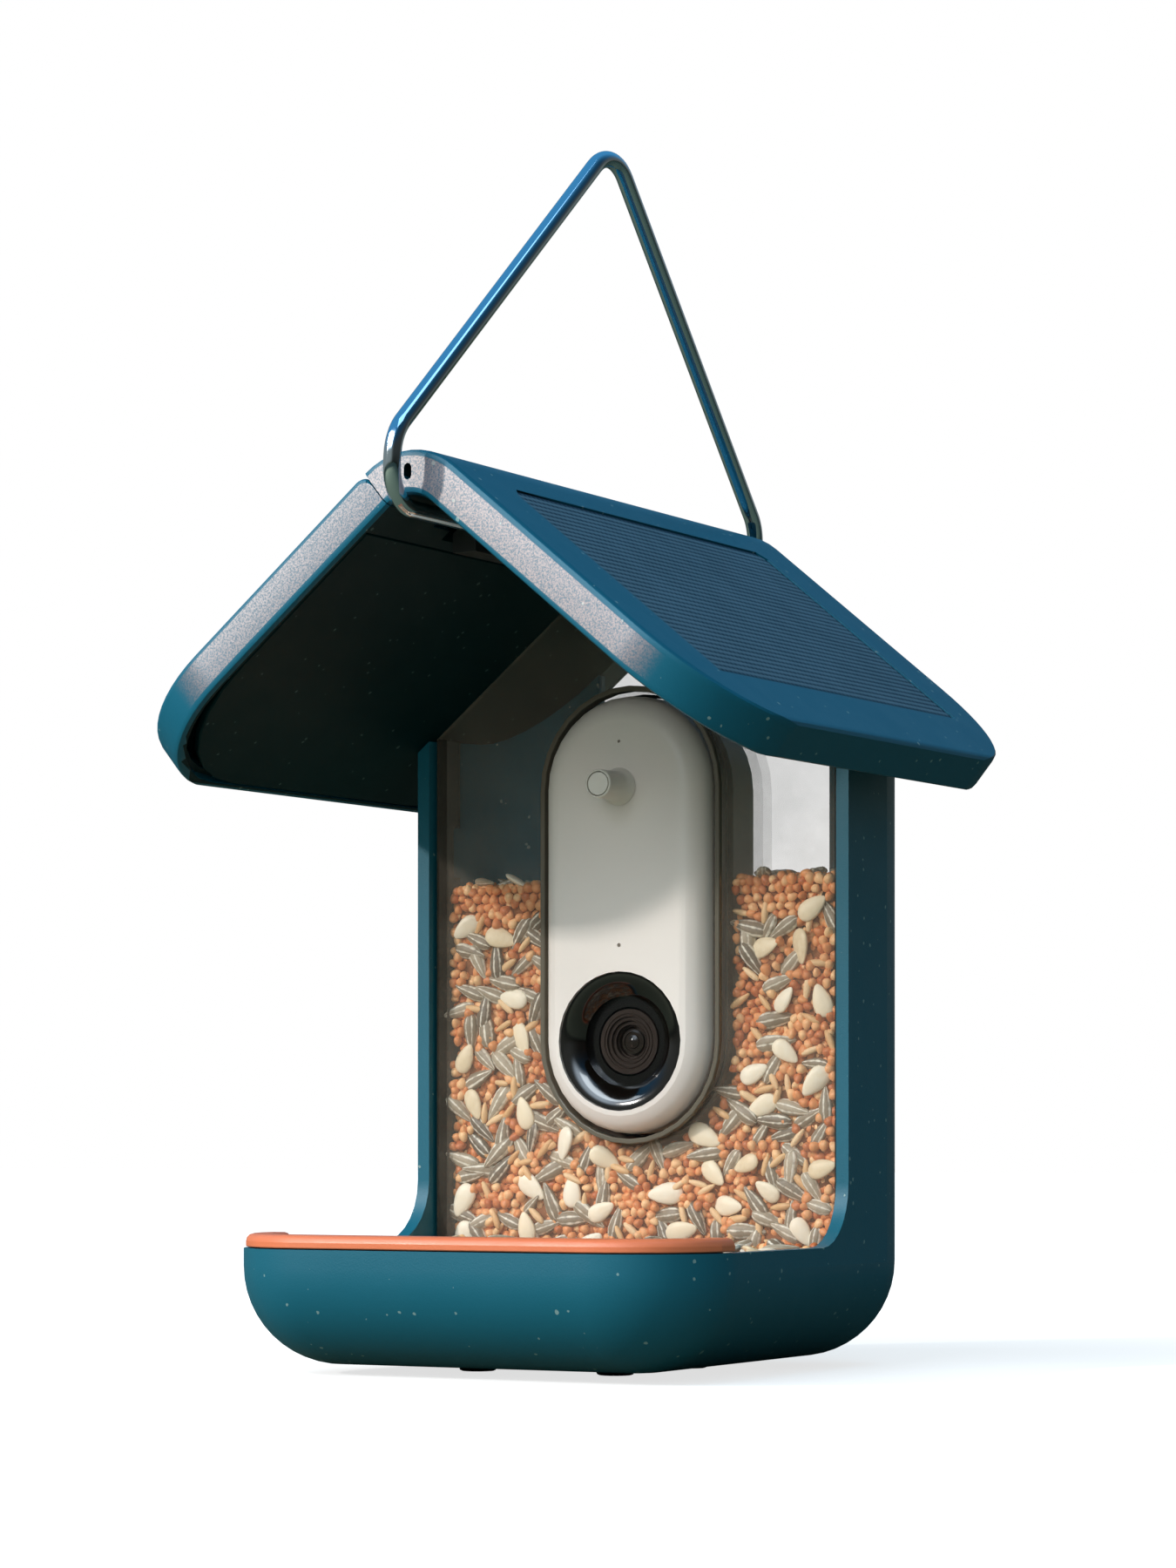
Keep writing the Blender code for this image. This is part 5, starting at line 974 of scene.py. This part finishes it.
# colours of the surroundings and where along x, y or z of the direction they change
sky = {
    "softLow": (0.08, 0.10, 0.054, 1), "softHigh": (0.13, 0.218, 0.28, 1),
    "softSpan": (-0.35, 0.45), "ground": (0.025, 0.04, 0.015, 1), "horizon": (0.24, 0.27, 0.26, 1),
    "horizonSpan": (-0.05, 0.08), "zenith": (0.06, 0.29, 0.56, 1), "zenithSpan": (0.15, 0.6),
    "rightSpan": (0.1, 0.75, 1.0, 0.15),
    "streak": (3.6, 4.3, 5.0, 1), "streakFoot": (0.2, 0.4), "streakHead": (0.6, 0.8, 1.0, 0.0),
    "streakFront": (-0.75, -0.5, 1.0, 0.0), "streakRight": (0.1, 0.4, 1.0, 0.0),
    "streakLeft": (-0.6, -0.35),
}


def makeWorld():
    # white to the camera, a dim gradient as light, and a stronger one in reflections
    world = bpy.data.worlds.new("studio")
    bpy.context.scene.world = world
    world.use_nodes = True
    tree = world.node_tree
    back = tree.nodes["Background"]
    direction = add(tree, "ShaderNodeTexCoord").outputs["Generated"]
    x, y, z = add(tree, "ShaderNodeSeparateXYZ", {0: direction}).outputs
    soft = mixColour(tree, ramp(tree, z, *sky["softSpan"]), sky["softLow"], sky["softHigh"])
    mirror = mixColour(tree, ramp(tree, z, *sky["horizonSpan"]), sky["ground"], sky["horizon"])
    mirror = mixColour(tree, ramp(tree, z, *sky["zenithSpan"]), mirror, sky["zenith"])
    mirror = shaded(tree, mirror, ramp(tree, x, *sky["rightSpan"]))  # darker to the right
    # bright streak of sky in front, seen in the lens and the wire
    streak = ramp(tree, z, *sky["streakFoot"])
    edges = (z, "streakHead"), (y, "streakFront"), (x, "streakRight"), (x, "streakLeft")
    for axis, edge in edges:
        streak = math2(tree, "MULTIPLY", streak, ramp(tree, axis, *sky[edge]))
    mirror = mixColour(tree, streak, mirror, sky["streak"])
    path = add(tree, "ShaderNodeLightPath")
    colour = mixColour(tree, path.outputs["Is Glossy Ray"], soft, mirror)
    colour = mixColour(tree, path.outputs["Is Camera Ray"], colour, (1, 1, 1, 1))
    tree.links.new(colour, back.inputs["Color"])
    back.inputs["Strength"].default_value = 1.0


# focal length, frame and centre in pixels; the turn is to the right of the front
view = {"place": (0.56241, -0.97922, 0.06170), "turn": 29.84, "focal": 4838, "width": 1350,
        "height": 1800, "centre": (673.04, 1307.5), "sensor": 36, "near": 0.05}


def makeCamera():
    cam = addObject("camera", bpy.data.cameras.new("camera"))
    cam.location = view["place"]
    cam.rotation_euler = (math.radians(90), 0, math.radians(view["turn"]))
    cam.data.sensor_width = view["sensor"]
    cam.data.sensor_fit = "AUTO"
    cam.data.lens = view["focal"] * view["sensor"] / view["height"]
    cam.data.shift_x = (view["width"] / 2 - view["centre"][0]) / view["height"]
    cam.data.shift_y = (view["centre"][1] - view["height"] / 2) / view["height"]
    cam.data.clip_start = view["near"]
    bpy.context.scene.camera = cam


makeStage()
for name, values in lamps.items():
    lamp(name, **values)
makeWorld()
makeCamera()
bpy.context.scene.view_settings.view_transform = "Standard"
print("stage made")
